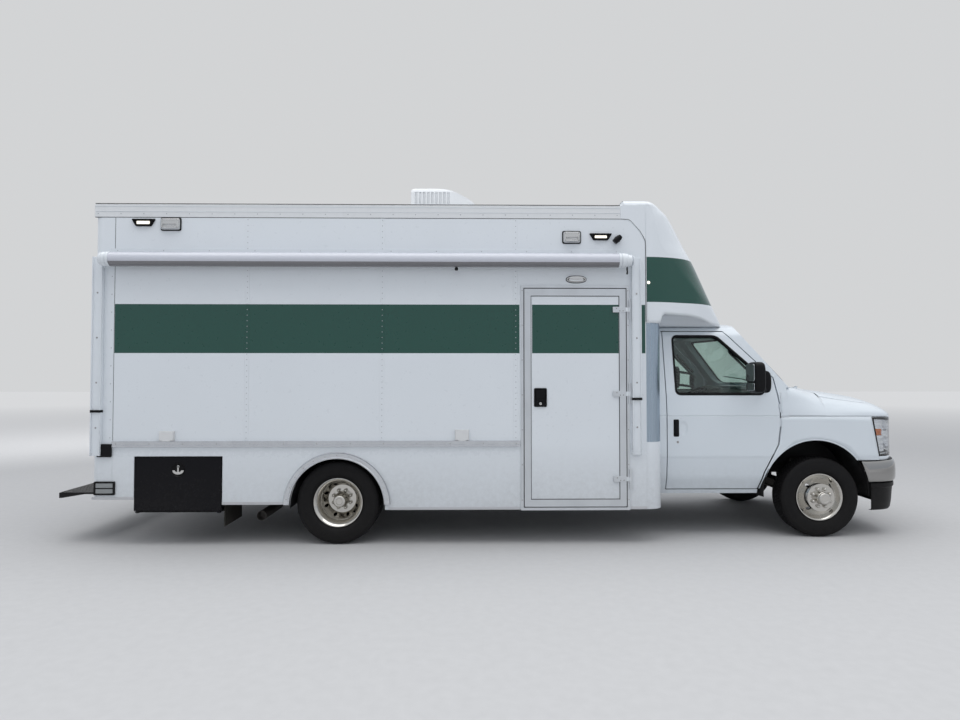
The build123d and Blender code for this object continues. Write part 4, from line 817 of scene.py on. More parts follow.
# %% Cap flange
edge = loop([(fx(-1920), 3.0585), (fx(-1920), 2.934), (fx(-1845), 2.934), (fx(-1728), 2.806),
             (fx(-1694), 2.735), (fx(-1692), 3.0585)], [0.001, 0.006, 0.03, 0.05, 0.03, 0.001], 6)
build("cap_flange", pair(plate(edge[::-1, ::-1], "Y", SIDE - 0.001, SIDE + 0.0035)), cap_plain,
      bevel=0.0015)
bead = np.array([(-1921, 2.934), (-1850, 2.932), (-1826, 2.917), (-1744, 2.826), (-1717, 2.78),
                 (-1697, 2.738), (-1694, 2.69), (-1694, 2.0)])
bead_path = xyz(fx(bead[:, 0]), SIDE + 0.002, bead[:, 1])
build("cap_sealant", pair(tube(bead_path, 0.0022, 6)), seal_rubber)

# %% [markdown]
# ## Lamps on the box
#
# Four kinds of lamp sit on the body. Small marker lamps are black wedges with a lit strip.
# Scene lamps are chrome cases, round at the top, with a ribbed lens below. The porch lamp over
# the door is a chrome half oval. The rear has red, amber and clear lamps in black frames. They
# stand where the CAD model's plain blocks are, and replace them.

# %% Marker and scene lamps
wedges, strips, cases, lenses, frames = [], [], [], [], []
for x0, x1, z0, z1 in ((-6319, -6104, 2.851, 2.918), (-2207, -1998, 2.738, 2.801)):
    outline = loop([(z1, fx(x0)), (z1, fx(x1)), (z0, fx(x1 - 38)), (z0, fx(x0 + 38))], 0.012)
    wedges.append(plate(outline, "Y", SIDE, SIDE + 0.012))
    inner = loop([(z1 - 0.008, fx(x0 + 16)), (z1 - 0.008, fx(x1 - 16)), (z0 + 0.008, fx(x1 - 46)),
                  (z0 + 0.008, fx(x0 + 46))], 0.01)
    wedges.append(moulding(inner, "Y", [(0.004, 0.01), (0.001, 0.027), (-0.005, 0.027), (-0.006, 0.01)],
                           SIDE))
    strips.append(slab(z0 + 0.019, z1 - 0.021, fx(x0 + 50), fx(x1 - 50), 0.006, SIDE + 0.01,
                       SIDE + 0.018))
for x0, x1, z0, z1 in ((-6060, -5876, 2.811, 2.932), (-2452, -2280, 2.705, 2.823)):
    outline = oblong(z0, z1, fx(x0), fx(x1), 0.02)
    frames.append(plate(outline, "Y", SIDE, SIDE + 0.008))
    inner = oblong(z0 + 0.008, z1 - 0.008, fx(x0 + 8), fx(x1 - 8), 0.018)
    cases.append(moulding(inner, "Y", [(0.001, 0.004), (-0.004, 0.03), (-0.012, 0.038), (-0.022, 0.038),
                                       (-0.024, 0.02), (-0.02, 0.004)], SIDE))
    hood_low = (z0 + z1) / 2 - 0.004
    cases.append(slab(hood_low, z1 - 0.022, fx(x0 + 24), fx(x1 - 24), 0.012, SIDE + 0.015,
                      SIDE + 0.036))
    lenses.append(slab(z0 + 0.026, hood_low, fx(x0 + 26), fx(x1 - 26), 0.006, SIDE + 0.012,
                       SIDE + 0.026))
    for k in range(4):
        low = z0 + 0.029 + k * 0.0065
        cases.append(on_wall(x0 + 28, x1 - 28, low, low + 0.0016, 0.022, 0.03))
lamps = build("marker_lamp_cases", pair(*wedges), black_plastic, bevel=0.002)
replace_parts(lamps, "body_lamps")
build("marker_lamp_strips", pair(*strips), lit_strip, bevel=0.001)
build("scene_lamp_frames", pair(*frames), black_plastic, bevel=0.002)
build("scene_lamp_cases", pair(*cases), chrome, bevel=0.0015)
build("scene_lamp_lenses", pair(*lenses), white_lens, bevel=0.001)

# %% Rear lamps
rear_x = fx(-6650)
bezels, reds, ambers, clears = [], [], [], []
for z0, z1, into in ((0.98, 1.16, ambers), (1.19, 1.37, reds), (2.78, 2.9, clears)):
    outline = oblong(0.8, 1.0, z0, z1, 0.02)
    bezels.append(moulding(outline, "X", [(0.0, -0.002), (0.0, 0.018), (-0.006, 0.022), (-0.014, 0.018),
                                          (-0.014, -0.002)], 0.0))
    into.append(plate(oblong(0.815, 0.985, z0 + 0.015, z1 - 0.015, 0.012), "X", 0.0, 0.026))
for name, shapes, finish in (("rear_lamp_bezels", bezels, black_plastic),
                             ("rear_red_lenses", reds, red_lens),
                             ("rear_amber_lenses", ambers, amber_lens),
                             ("rear_scene_lenses", clears, white_lens)):
    build(name, pair(*[facing_rear(shape, rear_x) for shape in shapes]), finish, bevel=0.0015)

# %% Porch lamp, lens block, camera and small marker
def oval(a, b, ra, rb, power=2.0):
    """A closed oval: the two half widths times cosine and sine, squared up by power."""
    t = np.linspace(0, 2 * np.pi, 48, endpoint=False)
    c, s = np.cos(t), np.sin(t)
    return np.stack([a + ra * np.sign(c) * np.abs(c) ** (2 / power),
                     b + rb * np.sign(s) * np.abs(s) ** (2 / power)], 1)


porch = oval(2.382, fx(-2326), 0.03, 0.088, power=2.3)
inner = oval(2.377, fx(-2326), 0.018, 0.068, power=2.3)
porch_edge = [(0.002, 0.0), (0.0, 0.012), (-0.006, 0.02), (-0.013, 0.014), (-0.012, 0.0)]
porch_shapes = [moulding(porch, "Y", porch_edge, SIDE),
                plate(oval(2.395, fx(-2326), 0.015, 0.07), "Y", SIDE + 0.004, SIDE + 0.024)]
build("porch_base", right(plate(oval(2.382, fx(-2326), 0.035, 0.094, power=2.3), "Y", SIDE - 0.001,
                                SIDE + 0.004)), black_plastic, bevel=0.001)
build("porch_lamp", right(*porch_shapes), chrome, bevel=0.002)
build("porch_lens", right(plate(inner, "Y", SIDE + 0.002, SIDE + 0.011)), white_lens, bevel=0.001)
block_frame = oblong(0.454, 0.573, fx(-6616), fx(-6434), 0.008)
tiers = [slab(low, low + 0.04, fx(-6600), fx(-6450), 0.005, SIDE + 0.002, SIDE + 0.014)
         for low in (0.469, 0.518)]
surround = [plate(block_frame, "Y", SIDE - 0.002, SIDE + 0.006),
            moulding(block_frame, "Y", [(0.0, 0.004), (0.0, 0.016), (-0.012, 0.016), (-0.013, 0.004)],
                     SIDE),
            on_wall(-6604, -6446, 0.5095, 0.5175, 0.003, 0.016)]
build("lower_lamp_frames", pair(*surround), black_plastic, bevel=0.0015)
build("lower_lamp_lenses", pair(*tiers), grey_lens, bevel=0.001)
cap_ends = [on_wall(-6591, -6466, 0.79, 0.905, -0.002, 0.026)]
build("post_end_caps", pair(*cap_ends), black_plastic, bevel=0.007, levels=3)
lens_spot = (fx(-1668), 0, 2.356)
build("nose_markers", pair(disc([(SIDE - 0.003, 0), (SIDE - 0.003, 0.014), (SIDE + 0.004, 0.014),
                                 (SIDE + 0.009, 0.009), (SIDE + 0.011, 0)], lens_spot, steps=24)),
      lit_strip)
eye = np.array([(fx(-1985), SIDE + 0.034, 2.716), (fx(-1975), SIDE + 0.035, 2.725),
                (fx(-1940), SIDE + 0.037, 2.757), (fx(-1925), SIDE + 0.038, 2.77)])
stem = np.array([(fx(-1950), SIDE - 0.002, 2.748), (fx(-1950), SIDE + 0.03, 2.748)])
foot = disc([(SIDE - 0.001, 0), (SIDE - 0.001, 0.03), (SIDE + 0.006, 0.028), (SIDE + 0.006, 0)],
            (fx(-1950), 0, 2.748), steps=28)
build("side_cameras", pair(tube(eye, [0.024, 0.026, 0.026, 0.018], 20), tube(stem, 0.013, 14), foot),
      black_plastic, sharp=45)
print("lamps made")

# %% [markdown]
# ## Entry door
#
# The leaf is a white panel in a frame of aluminium extrusions, mitred at its corners. A rubber
# seal fills the gap to the outer frame. It has a black paddle latch with a key, and three strap
# hinges held by screws. What is on the leaf rides on the leaf.

# %% Leaf frame, seal and hinge screws
HINGES, PIN_X = (0.566, 1.329, 2.088), 1.2
door_y = SIDE + 0.008
x0, x1, z0, z1 = 0.254, 1.171, 0.34, 2.297
ex, ez = 0.058, 0.064
GROOVE = 0.0006


def mitred(points):
    """A flat bar of four corners (x, z) on the leaf, 2 mm proud."""
    return plate(loop([(z, x) for x, z in points], 0.0004, 2), "Y", door_y - 0.001, door_y + 0.002)


bars = [mitred([(x0, z0), (x0 + ex, z0 + ez), (x0 + ex, z1 - ez), (x0, z1)]),
        mitred([(x1, z0), (x1 - ex, z0 + ez), (x1 - ex, z1 - ez), (x1, z1)]),
        mitred([(x0 + GROOVE, z0), (x1 - GROOVE, z0), (x1 - ex, z0 + ez - GROOVE),
                (x0 + ex, z0 + ez - GROOVE)]),
        mitred([(x0 + GROOVE, z1), (x1 - GROOVE, z1), (x1 - ex, z1 - ez + GROOVE),
                (x0 + ex, z1 - ez + GROOVE)])]
build("door_bars", right(*bars), door_metal, "entry_door", bevel=0.0012)
gap = oblong(z0 - 0.004, z1 + 0.004, x0 - 0.004, x1 + 0.004, 0.003)
build("door_seal", right(moulding(gap, "Y", [(0.003, -0.04), (0.003, -0.006), (0.0, -0.003),
                                             (-0.003, -0.006), (-0.003, -0.04)], door_y)), seal_rubber)
inner_gap = oblong(z0 + ez, z1 - ez, x0 + ex, x1 - ex, 0.004)
build("door_panel_seal", right(moulding(inner_gap, "Y",
                                        [(0.001, -0.006), (0.001, 0.0005), (-0.005, -0.0035),
                                         (-0.005, -0.006)], door_y)), seal_rubber, "entry_door")
screws = []
for z in HINGES:
    for dx in (-0.115, -0.085, -0.055):
        screws.append((PIN_X + dx, door_y + 0.0114, z + 0.02 + 0.011 * (1 if dx < -0.1 else -1)))
straps, leaves = [], []
for z in HINGES:
    straps.append(slab(z - 0.005, z + 0.045, 1.052, 1.17, 0.004, door_y + 0.001, door_y + 0.0115))
    leaves.append(slab(z - 0.075, z + 0.115, 1.196, 1.222, 0.004, door_y - 0.002, door_y + 0.006))
    for low, high in ((-0.07, -0.004), (0.044, 0.11)):
        pin = line((PIN_X, door_y + 0.0085, z + low), (PIN_X, door_y + 0.0085, z + high), 1.0)
        leaves.append(tube(pin, 0.0075, 12))
build("hinge_straps", right(*straps), door_metal, "entry_door", bevel=0.001)
build("hinge_leaves", right(*leaves), door_metal, bevel=0.001)
along = line((0, 0, 0.4), (0, 0, 2.28), 0.31)
frame_screws = np.concatenate([along + (x, door_y, 0) for x in (0.234, 1.191)])
build("hinge_screws", right(domes(screws, "Y", 0.0055, 0.0025, 8)), steel, "entry_door")
build("frame_screws", right(domes(frame_screws, "Y", 0.0045, 0.002, 8)), steel)

# %% Paddle latch
hx, hz = fx(-2652), 1.316
latch = [slab(hz - 0.085, hz + 0.085, hx - 0.058, hx + 0.058, 0.014, door_y - 0.006, door_y + 0.002),
         moulding(oblong(hz - 0.083, hz + 0.083, hx - 0.056, hx + 0.056, 0.014), "Y",
                  [(0.001, 0.0), (-0.002, 0.008), (-0.007, 0.008), (-0.01, 0.0)], door_y),
         slab(hz - 0.012, hz + 0.066, hx - 0.04, hx + 0.04, 0.008, door_y, door_y + 0.01),
         slab(hz - 0.03, hz - 0.014, hx - 0.034, hx + 0.034, 0.004, door_y, door_y + 0.014)]
build("entry_latch", right(*latch), black_gloss, "entry_door", bevel=0.0015)
key = disc([(door_y, 0), (door_y, 0.012), (door_y + 0.006, 0.0115), (door_y + 0.007, 0.009),
            (door_y + 0.005, 0.008), (door_y + 0.005, 0)], (hx, 0, hz - 0.055), steps=24)
keyway = box((hx - 0.001, door_y + 0.0045, hz - 0.061), (hx + 0.001, door_y + 0.0054, hz - 0.049))
build("entry_key", right(key), chrome, "entry_door")
build("entry_keyway", right(keyway), seal_rubber, "entry_door")
print("entry door dressed")

# %% [markdown]
# ## Awning
#
# The rolled awning wears a hard white cover, open along its underside, so its section is a
# spiral of one turn with a small step. Its two arms are channels screwed to the wall, each
# with a strap. A knob and a pull strap hang below the roller.

# %% Awning cover, straps and knob
ROLL_Y, ROLL_Z = 1.304, 2.541
t = np.linspace(0, 2 * np.pi, 60)
spiral = 0.0605 + 0.004 * t / (2 * np.pi)
turn = math.radians(-62)
section = np.stack([ROLL_Y + spiral * np.cos(t + turn), ROLL_Z + spiral * np.sin(t + turn)], 1)
roll_x0, roll_x1 = -3.6 + 0.1665, 1.511 - 0.3955
cover = build("awning_cover", right(plate(section, "X", roll_x0, roll_x1)), awning_paint, bevel=0.0012,
              sharp=30)
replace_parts(cover, "awning_roller")
RIM = [(-0.012, 0), (-0.012, 0.0668), (0.012, 0.0668), (0.012, 0)]
FRONT_END = [(0.0, 0), (0.0, 0.065), (0.03, 0.065), (0.033, 0.06), (0.052, 0.06), (0.058, 0.052),
             (0.09, 0.05), (0.09, 0)]
REAR_END = [(-0.066, 0), (-0.066, 0.052), (-0.052, 0.06), (-0.033, 0.06), (-0.03, 0.065), (0.0, 0.065),
            (0.0, 0)]
ends = []
for x, way, end in ((roll_x0, -1, REAR_END), (roll_x1, 1, FRONT_END)):
    ends.append(disc(RIM, (x - way * 0.014, ROLL_Y, ROLL_Z), "X", 48))
    ends.append(disc(end, (x, ROLL_Y, ROLL_Z), "X", 48))
build("awning_end_rings", right(*ends), white_paint, bevel=0.003)
ARMS = ((-3.592, -3.503), (1.223, 1.306))
straps = []
for (x0, x1), z in zip(ARMS, (1.197, 1.304)):
    straps.append(moulding(oblong(x0, x1, SIDE + 0.0003, SIDE + 0.045, 0.006), "Z",
                           [(0.0025, 0.0), (0.0025, 0.022), (0.0002, 0.022), (0.0002, 0.0)], z - 0.011))
pull = [(fx(-1881), 1.3, 2.482), (fx(-1882), 1.301, 2.462), (fx(-1880), 1.302, 2.44),
        (fx(-1883), 1.301, 2.418)]
straps.append(tube(pull, [0.006, 0.0075, 0.007, 0.009], 8))
straps.append(disc([(2.448, 0), (2.448, 0.012), (2.456, 0.016), (2.47, 0.014), (2.482, 0.006),
                    (2.482, 0)], (fx(-3407), ROLL_Y, 0), "Z", 20))
build("awning_straps", right(*straps), seal_rubber, sharp=45)
arm_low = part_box("awning_arms")[0][2]
arms = []
for (x0, x1), way in zip(ARMS, (1, -1)):
    outline = [(x0, SIDE), (x1, SIDE), (x1, SIDE + 0.045), (x1 - 0.009, SIDE + 0.045),
               (x1 - 0.009, SIDE + 0.031), (x0 + 0.009, SIDE + 0.031), (x0 + 0.009, SIDE + 0.045),
               (x0, SIDE + 0.045)]
    arms.append(plate(outline, "Z", arm_low, 2.572))
    inner = x1 if way > 0 else x0
    arms.append(plate(loop([(SIDE, 2.495), (ROLL_Y + 0.03, 2.505), (ROLL_Y + 0.03, 2.575), (SIDE, 2.59)],
                           0.02), "X", *sorted((inner - way * 0.004, inner + way * 0.004))))
    arms.append(disc([(-0.02, 0), (-0.02, 0.02), (0.02, 0.02), (0.02, 0)],
                     (inner + way * 0.012, ROLL_Y, ROLL_Z), "X", 24))
arms = build("arm_channels", right(*arms), white_paint, bevel=0.002)
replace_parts(arms, "awning_arms")
channel_bolts = [(x, SIDE + 0.0318, z) for x in (-3.5475, 1.2645) for z in (1.05, 1.45, 1.85, 2.25)]
build("awning_bolts", right(domes(channel_bolts, "Y", 0.008, 0.004, 8)), steel)
back_rail = box((-3.45, SIDE - 0.001, 2.612), (1.14, SIDE + 0.002, 2.652))
build("awning_back_rail", right(back_rail), white_paint, bevel=0.001)
print("awning made")

# %% [markdown]
# ## Toolbox, outlets and trim
#
# The toolbox lid is black enamel with a raised lip and a round chrome latch whose handle lies
# folded flat in its dish. Two white weatherproof outlet covers sit on the rub rail.

# %% Toolbox latch and lip
lid_y = SIDE + 0.006
tx, tz = (-3.215 - 2.444) / 2, 0.674
dish = [ring([(0.0015, 0.0655), (0.003, 0.063), (0.002, 0.06), (-0.009, 0.052), (-0.011, 0.048),
              (-0.0118, 0.048), (-0.0118, 0.0635), (0.0, 0.0655)], (tx, lid_y, tz), steps=56),
        disc([(-0.0119, 0), (-0.0119, 0.0485), (-0.0105, 0.0485), (-0.0105, 0)], (tx, lid_y, tz),
             steps=48)]
build("toolbox_dish", right(*dish), black_gloss, "toolbox_lid", sharp=50)
t = np.radians(np.linspace(0, 180, 15))
bow = np.concatenate([np.stack([tz - 0.004 - 0.036 * np.sin(t), tx + 0.05 * np.cos(t)], 1),
                      np.stack([tz - 0.002 - 0.016 * np.sin(t), tx + 0.03 * np.cos(t)], 1)[::-1]])
grip = [plate(loop(bow[::-1], 0.003, 3), "Y", lid_y - 0.006, lid_y + 0.001),
        slab(tz - 0.026, tz + 0.034, tx - 0.007, tx + 0.007, 0.005, lid_y - 0.007, lid_y + 0.0005),
        disc([(-0.011, 0), (-0.011, 0.012), (-0.001, 0.011), (0.0005, 0.008), (0.0005, 0)],
             (tx, lid_y, tz + 0.03), steps=24)]
build("toolbox_latch", right(*grip), chrome, "toolbox_lid", bevel=0.0012, sharp=50)
lip = oblong(0.318, 0.784, -3.209, -2.45, 0.006)
build("toolbox_lip", right(moulding(lip, "Y", [(0.001, -0.001), (0.0, 0.0018), (-0.01, 0.0018),
                                               (-0.012, -0.001)], lid_y)), toolbox_paint, "toolbox_lid")
hinge_line = [(-3.205, SIDE + 0.001, 0.3035), (-2.454, SIDE + 0.001, 0.3035)]
feet = [box((x, SIDE - 0.03, 0.292), (x + 0.03, SIDE - 0.002, 0.3005)) for x in (-3.205, -2.484)]
build("toolbox_hinge", right(tube(hinge_line, 0.0045, 10), *feet), toolbox_paint, bevel=0.001)

# %% Outlet covers, skirt edges and flare screws
covers, edges = [], []
for a, b, low, high in ((-6045, -5912, 0.933, 1.02), (-3420, -3294, 0.933, 1.03)):
    covers.append(on_wall(a, b, low, high, -0.001, 0.022))
    covers.append(box((fx(a) + 0.004, SIDE + 0.02, low + 0.003),
                      (fx(b) - 0.004, SIDE + 0.034, high - 0.01)))
    covers.append(box((fx(a) + 0.03, SIDE + 0.03, low - 0.004),
                      (fx(b) - 0.03, SIDE + 0.036, low + 0.008)))
    covers.append(tube([(fx(a) + 0.012, SIDE + 0.024, high - 0.006),
                        (fx(b) - 0.012, SIDE + 0.024, high - 0.006)], 0.006, 10))
build("outlet_covers", right(*covers), white_plastic, bevel=0.004, levels=3)
for a, b, low in ((-3.59, -3.217, 0.413), (-2.442, -1.885, 0.365), (-0.955, 0.214, 0.315),
                  (1.211, 1.356, 0.315)):
    edges.append(box((a, SIDE - 0.031, low - 0.0015), (b, SIDE + 0.0012, low + 0.0005)))
    edges.append(box((a, SIDE - 0.0002, low), (b, SIDE + 0.0014, low + 0.024)))
parts = right(*edges)
for a, b, low in ((-3.59, -3.217, 0.413), (-3.213, -1.885, 0.365), (-0.955, 1.356, 0.315)):
    parts.add(*box((a, SIDE - 0.0002, low), (b, SIDE + 0.0014, low + 0.024)))
build("skirt_edges", parts, aluminium, bevel=0.0004, levels=1)
ARCH_FOOT = 0.35
t = np.linspace(math.radians(8), math.radians(172), 13)
flare_heads = xyz(REAR_AXLE + 0.451 * np.cos(t), SIDE + 0.0243, ARCH_FOOT + 0.451 * np.sin(t))
rail_heads = line((-3.38, SIDE + 0.0142, 0.905), (0.18, SIDE + 0.0142, 0.905), 0.3)
t = np.radians(np.linspace(2, 178, 60))
beads = [tube(xyz(REAR_AXLE + r * np.cos(t), SIDE + dy, ARCH_FOOT + r * np.sin(t)), thick, 8)
         for r, dy, thick in ((0.431, 0.0225, 0.0075), (0.476, 0.01, 0.0045))]
build("flare_beads", pair(*beads), flare_metal)
build("trim_screws", pair(domes(flare_heads, "Y", 0.0045, 0.0018, 8),
                          domes(rail_heads, "Y", 0.0045, 0.0018, 8)), steel)
print("trim made")

# %% [markdown]
# ## Nose of the cab
#
# Pressed sheet has no flat facets. Ahead of the windscreen the outer skin is one surface: half a
# section across the vehicle, which starts as the cab's side, becomes the cowl's and ends as a
# rounded form that closes on the grille. Hood and fenders are two cuts of it. A crease runs along
# the fender at the height of the headlamp's top edge.

# %% The nose as one surface
CREASE = 1.128
NOSE = 0.596
CAB = np.array([(1007, 1128), (1003, 1190), (993, 1270), (981, 1350), (950, 1396), (880, 1403),
                (760, 1384), (500, 1391), (250, 1402), (0, 1404)]) / 1000
COWL = np.array([(1007, 1128), (992, 1172), (965, 1220), (925, 1267), (850, 1315), (760, 1352),
                 (620, 1375), (430, 1393), (200, 1402), (0, 1404)]) / 1000
HOOD_LINE = np.array([(-400, 1404), (30, 1404), (130, 1386), (300, 1363), (450, 1341), (600, 1316),
                      (720, 1284), (795, 1250), (840, 1213), (872, 1170), (894, 1129)]) / 1000


def through(xs, ys, x):
    """A smooth curve through points: cubic pieces, each point's slope taken from its neighbours."""
    xs, ys, x = (np.asarray(v, float) for v in (xs, ys, x))
    slope = np.gradient(ys, xs)
    k = np.clip(np.searchsorted(xs, x) - 1, 0, len(xs) - 2)
    wide = xs[k + 1] - xs[k]
    u = np.clip((x - xs[k]) / wide, 0, 1)
    return (ys[k] * (2 * u ** 3 - 3 * u ** 2 + 1) + ys[k + 1] * (3 * u ** 2 - 2 * u ** 3)
            + wide * (slope[k] * (u ** 3 - 2 * u ** 2 + u) + slope[k + 1] * (u ** 3 - u ** 2)))


def eased(u):
    """Zero to one with level ends."""
    u = np.clip(u, 0, 1)
    return u * u * (3 - 2 * u)


def half_width(x):
    """Half the nose's width at X: full up to 0.3 m ahead of the axle, then a superellipse."""
    u = np.clip((np.asarray(x) - FRONT_AXLE - 0.3) / NOSE, 0, 1)
    return CAB_HALF * (1 - u ** 3.8) ** 0.4


def nose_section(x):
    """Half a section at one X, as (y, z) points from the crease to the middle line."""
    ahead = x - FRONT_AXLE
    top = through(HOOD_LINE[:, 0], HOOD_LINE[:, 1], ahead)
    t = np.radians([0, 10, 20, 30, 41, 52, 63, 74, 83, 90])
    full = 2.3 - 0.6 * eased((ahead - 0.5) / 0.3)
    nose = np.stack([np.cos(t), np.sin(t)], 1) ** (2 / full)
    scale = (CAB_HALF, 0.276)
    cab, cowl = (CAB - (0, CREASE)) / scale, (COWL - (0, CREASE)) / scale
    form = cab + (cowl - cab) * eased((ahead + 0.35) / 0.43)
    form = form + (nose - form) * eased((ahead - 0.06) / 0.46)
    points = form * (half_width(x), top - CREASE) + (0, CREASE)
    k, dense = np.arange(10), np.linspace(0, 9, 91)
    return np.stack([through(k, points[:, 0], dense), through(k, points[:, 1], dense)], 1)


def nose_skin(xs, outer, inner, count):
    """A grid over the nose between two distances from the middle, evenly spaced along each section."""
    strips = []
    for x, inner in zip(xs, np.broadcast_to(inner, len(xs))):
        section = nose_section(x)
        run = np.concatenate([[0], np.cumsum(np.linalg.norm(np.diff(section, axis=0), axis=1))])
        ends = np.interp([-outer, -inner], -section[:, 0], run)
        at = np.linspace(*ends, count)
        strips.append(xyz(x, np.interp(at, run, section[:, 0]), np.interp(at, run, section[:, 1])))
    return np.stack(strips, 1)


def skin(grid, flip=False):
    """Corners and quads of a grid of places."""
    faces = grid_faces(*grid.shape[:2])
    return grid.reshape(-1, 3), faces[:, ::-1] if flip else faces


def whole(grid, axis=0):
    """A half grid that ends on the middle line, continued by its mirror image."""
    back = np.flip(grid, axis) * (1, -1, 1)
    return np.concatenate([grid, np.delete(back, 0, axis)], axis)


def sheeted(obj, thickness):
    """Give an open skin a thickness, inwards from its outer face."""
    wall = obj.modifiers.new("sheet", "SOLIDIFY")
    wall.thickness, wall.offset = thickness, -1
    return obj


# %% Hood and fenders
hood_xs = fx(np.array([74, 110, 160, 220, 290, 360, 430, 500, 565, 620, 668, 706, 738, 766, 790, 811,
                       829, 844, 857, 868, 877, 884, 889, 893]))
hood = build("hood_skin", single(skin(whole(nose_skin(hood_xs, 0.847, 0.0, 30)))), cab_paint, "hood",
             sharp=60)
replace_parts(sheeted(hood, 0.004), "hood")

ARCH_X, ARCH_Z, ARCH_R = fx(-41), 0.415, 0.497


def side_y(x, z):
    """The cab side's distance from the middle, at X and height."""
    return np.interp(z, [0.404, 0.56, 0.76], [0.925, 0.985, CAB_HALF]) * half_width(x) / CAB_HALF


def lamp_line(z):
    """The headlamp's rear edge, leaning back as it rises."""
    return fx(np.interp(z, [0.756, 1.121], [560, 487]))


border = [(-565, 450), (-520, 606), (-448, 756), (-390, 868), (-369, 1032), (-369, 1128), (487, 1128),
          (560, 756), (560, 720)]
border = np.array(border) / 1000 + (FRONT_AXLE - ARCH_X, -ARCH_Z)
dense = np.concatenate([line(a, b, 0.01)[:-1] for a, b in zip(border[:-1], border[1:])] + [border[-1:]])
turns = np.arctan2(dense[:, 1], dense[:, 0])
corners = np.arctan2(border[:, 1], border[:, 0])
t = np.unique(np.concatenate([np.linspace(turns.min(), turns.max(), 90), corners]))[::-1]
outer = np.interp(t, turns[::-1], np.hypot(*dense.T)[::-1])
low_front = (0.72 - ARCH_Z) / np.maximum(np.sin(t), 0.1)
inner = np.where(t < math.pi / 2, np.maximum(ARCH_R, low_front), ARCH_R)
radius = inner + (outer - inner) * np.linspace(0, 1, 8)[:, None]
x, z = ARCH_X + radius * np.cos(t), ARCH_Z + radius * np.sin(t)
under_x = np.linspace(fx(560), fx(862), 24)
under = np.stack([xyz(under_x, side_y(under_x, h), h) for h in (0.72, 0.738, 0.754)])
top_x = np.concatenate([np.linspace(-369, 50, 16), np.linspace(66, 742, 32)])
top = nose_skin(fx(top_x), 2, np.where(top_x < 60, 0.66, 0.853), 26) + (0, 0, 0.001)
fenders = build("fender_skin", pair(skin(xyz(x, side_y(x, z), z)), skin(under), skin(top)), cab_paint,
                sharp=60)
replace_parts(sheeted(fenders, 0.003), "front_fenders")
t = np.radians(np.linspace(3, 142, 60))
x, z = ARCH_X - ARCH_R * np.cos(t), ARCH_Z + ARCH_R * np.sin(t)
lip = xyz(x, side_y(x, z) - 0.004, z)
build("arch_lips", pair(tube(lip, 0.0065, 8)), cab_paint)
print("nose skin", len(hood.data.polygons) + len(fenders.data.polygons))

# %% Wheel houses
def wheel_house(x, z, radius, y_out, y_in, first, last):
    """A dark half drum over a wheel, and the flat wall on its inner side."""
    t = np.radians(np.linspace(-4, 184, 48))
    y = np.array([y_out, y_out - 0.06, y_in + 0.04, y_in])
    r = np.array([radius, radius + 0.012, radius + 0.012, radius])
    hull = xyz(x + r * np.cos(t)[:, None], y, z + r * np.sin(t)[:, None])
    t = np.radians(np.linspace(first, last, 24))
    rim = np.stack([z + (radius + 0.006) * np.sin(t), x + (radius + 0.006) * np.cos(t)], 1)
    return [skin(hull), plate(rim[::-1], "Y", y_in - 0.004, y_in + 0.001)]


houses = wheel_house(ARCH_X, ARCH_Z, 0.5, 0.996, 0.6, 27, 153)
houses += wheel_house(REAR_AXLE, ARCH_FOOT, 0.424, 1.186, 0.68, 12, 168)
sheeted(build("wheel_houses", pair(*houses), black_plastic, sharp=50), 0.003)

# %% [markdown]
# ## Nose cap
#
# The cap over the cab is moulded in one piece, so its side turns into its front through a wide
# curve. Each level is a half outline: forward along the side, round the corner and across the
# front. Tables say how far forward a level reaches, how the side draws in and how the shoulder
# slopes. The lower edge steps up ahead of the corner post, and the underside is hollow.

# %% Levels of the cap
BOX_FRONT = -1.693
CAP_FOOT, HOLLOW_FOOT = 1.985, 1.9893
CAP_FRONT = np.array([(1985, -829), (2100, -890), (2240, -966), (2440, -1066), (2540, -1118),
                      (2640, -1174), (2760, -1261), (2880, -1354), (2960, -1422), (3000, -1461),
                      (3030, -1500), (3060, -1546), (3085, -1590), (3100, -1625), (3106, -1650),
                      (3108, -1668)]) / 1000
CAP_SIDE = np.array([(-1893, 1219), (-1654, 1219), (-1600, 1216), (-1560, 1209), (-1520, 1199),
                     (-1473, 1185), (-1300, 1118), (-1215, 1085), (-1150, 1054), (-1098, 1015),
                     (-1000, 930), (-915, 856), (-850, 790), (-829, 750)]) / 1000
SHOULDER = np.array([(2819, 1219), (2860, 1216), (2900, 1205), (2934, 1190), (2964, 1170), (3048, 1107),
                     (3060, 1097), (3072, 1085), (3082, 1072), (3090, 1058), (3098, 1044), (3103, 1029),
                     (3107, 1013), (3108, 1010)]) / 1000
HOLLOW = ([0.8, 0.87, 0.96, 1.08, 1.22], [1.985, 1.989, 2.03, 2.066, 2.078])


def cap_wide(x, z):
    """Half the cap's width: square with the box at its rear, sloping shoulders further ahead."""
    rise = np.clip((z - 3.058) / 0.05, 0, 1)
    square = SIDE - 0.05 * (1 - np.sqrt(1 - rise ** 2))
    sloping = np.interp(z, *SHOULDER.T)
    return np.minimum(np.interp(x, *CAP_SIDE.T), square + (sloping - square) * eased((x - BOX_FRONT) / 0.4))


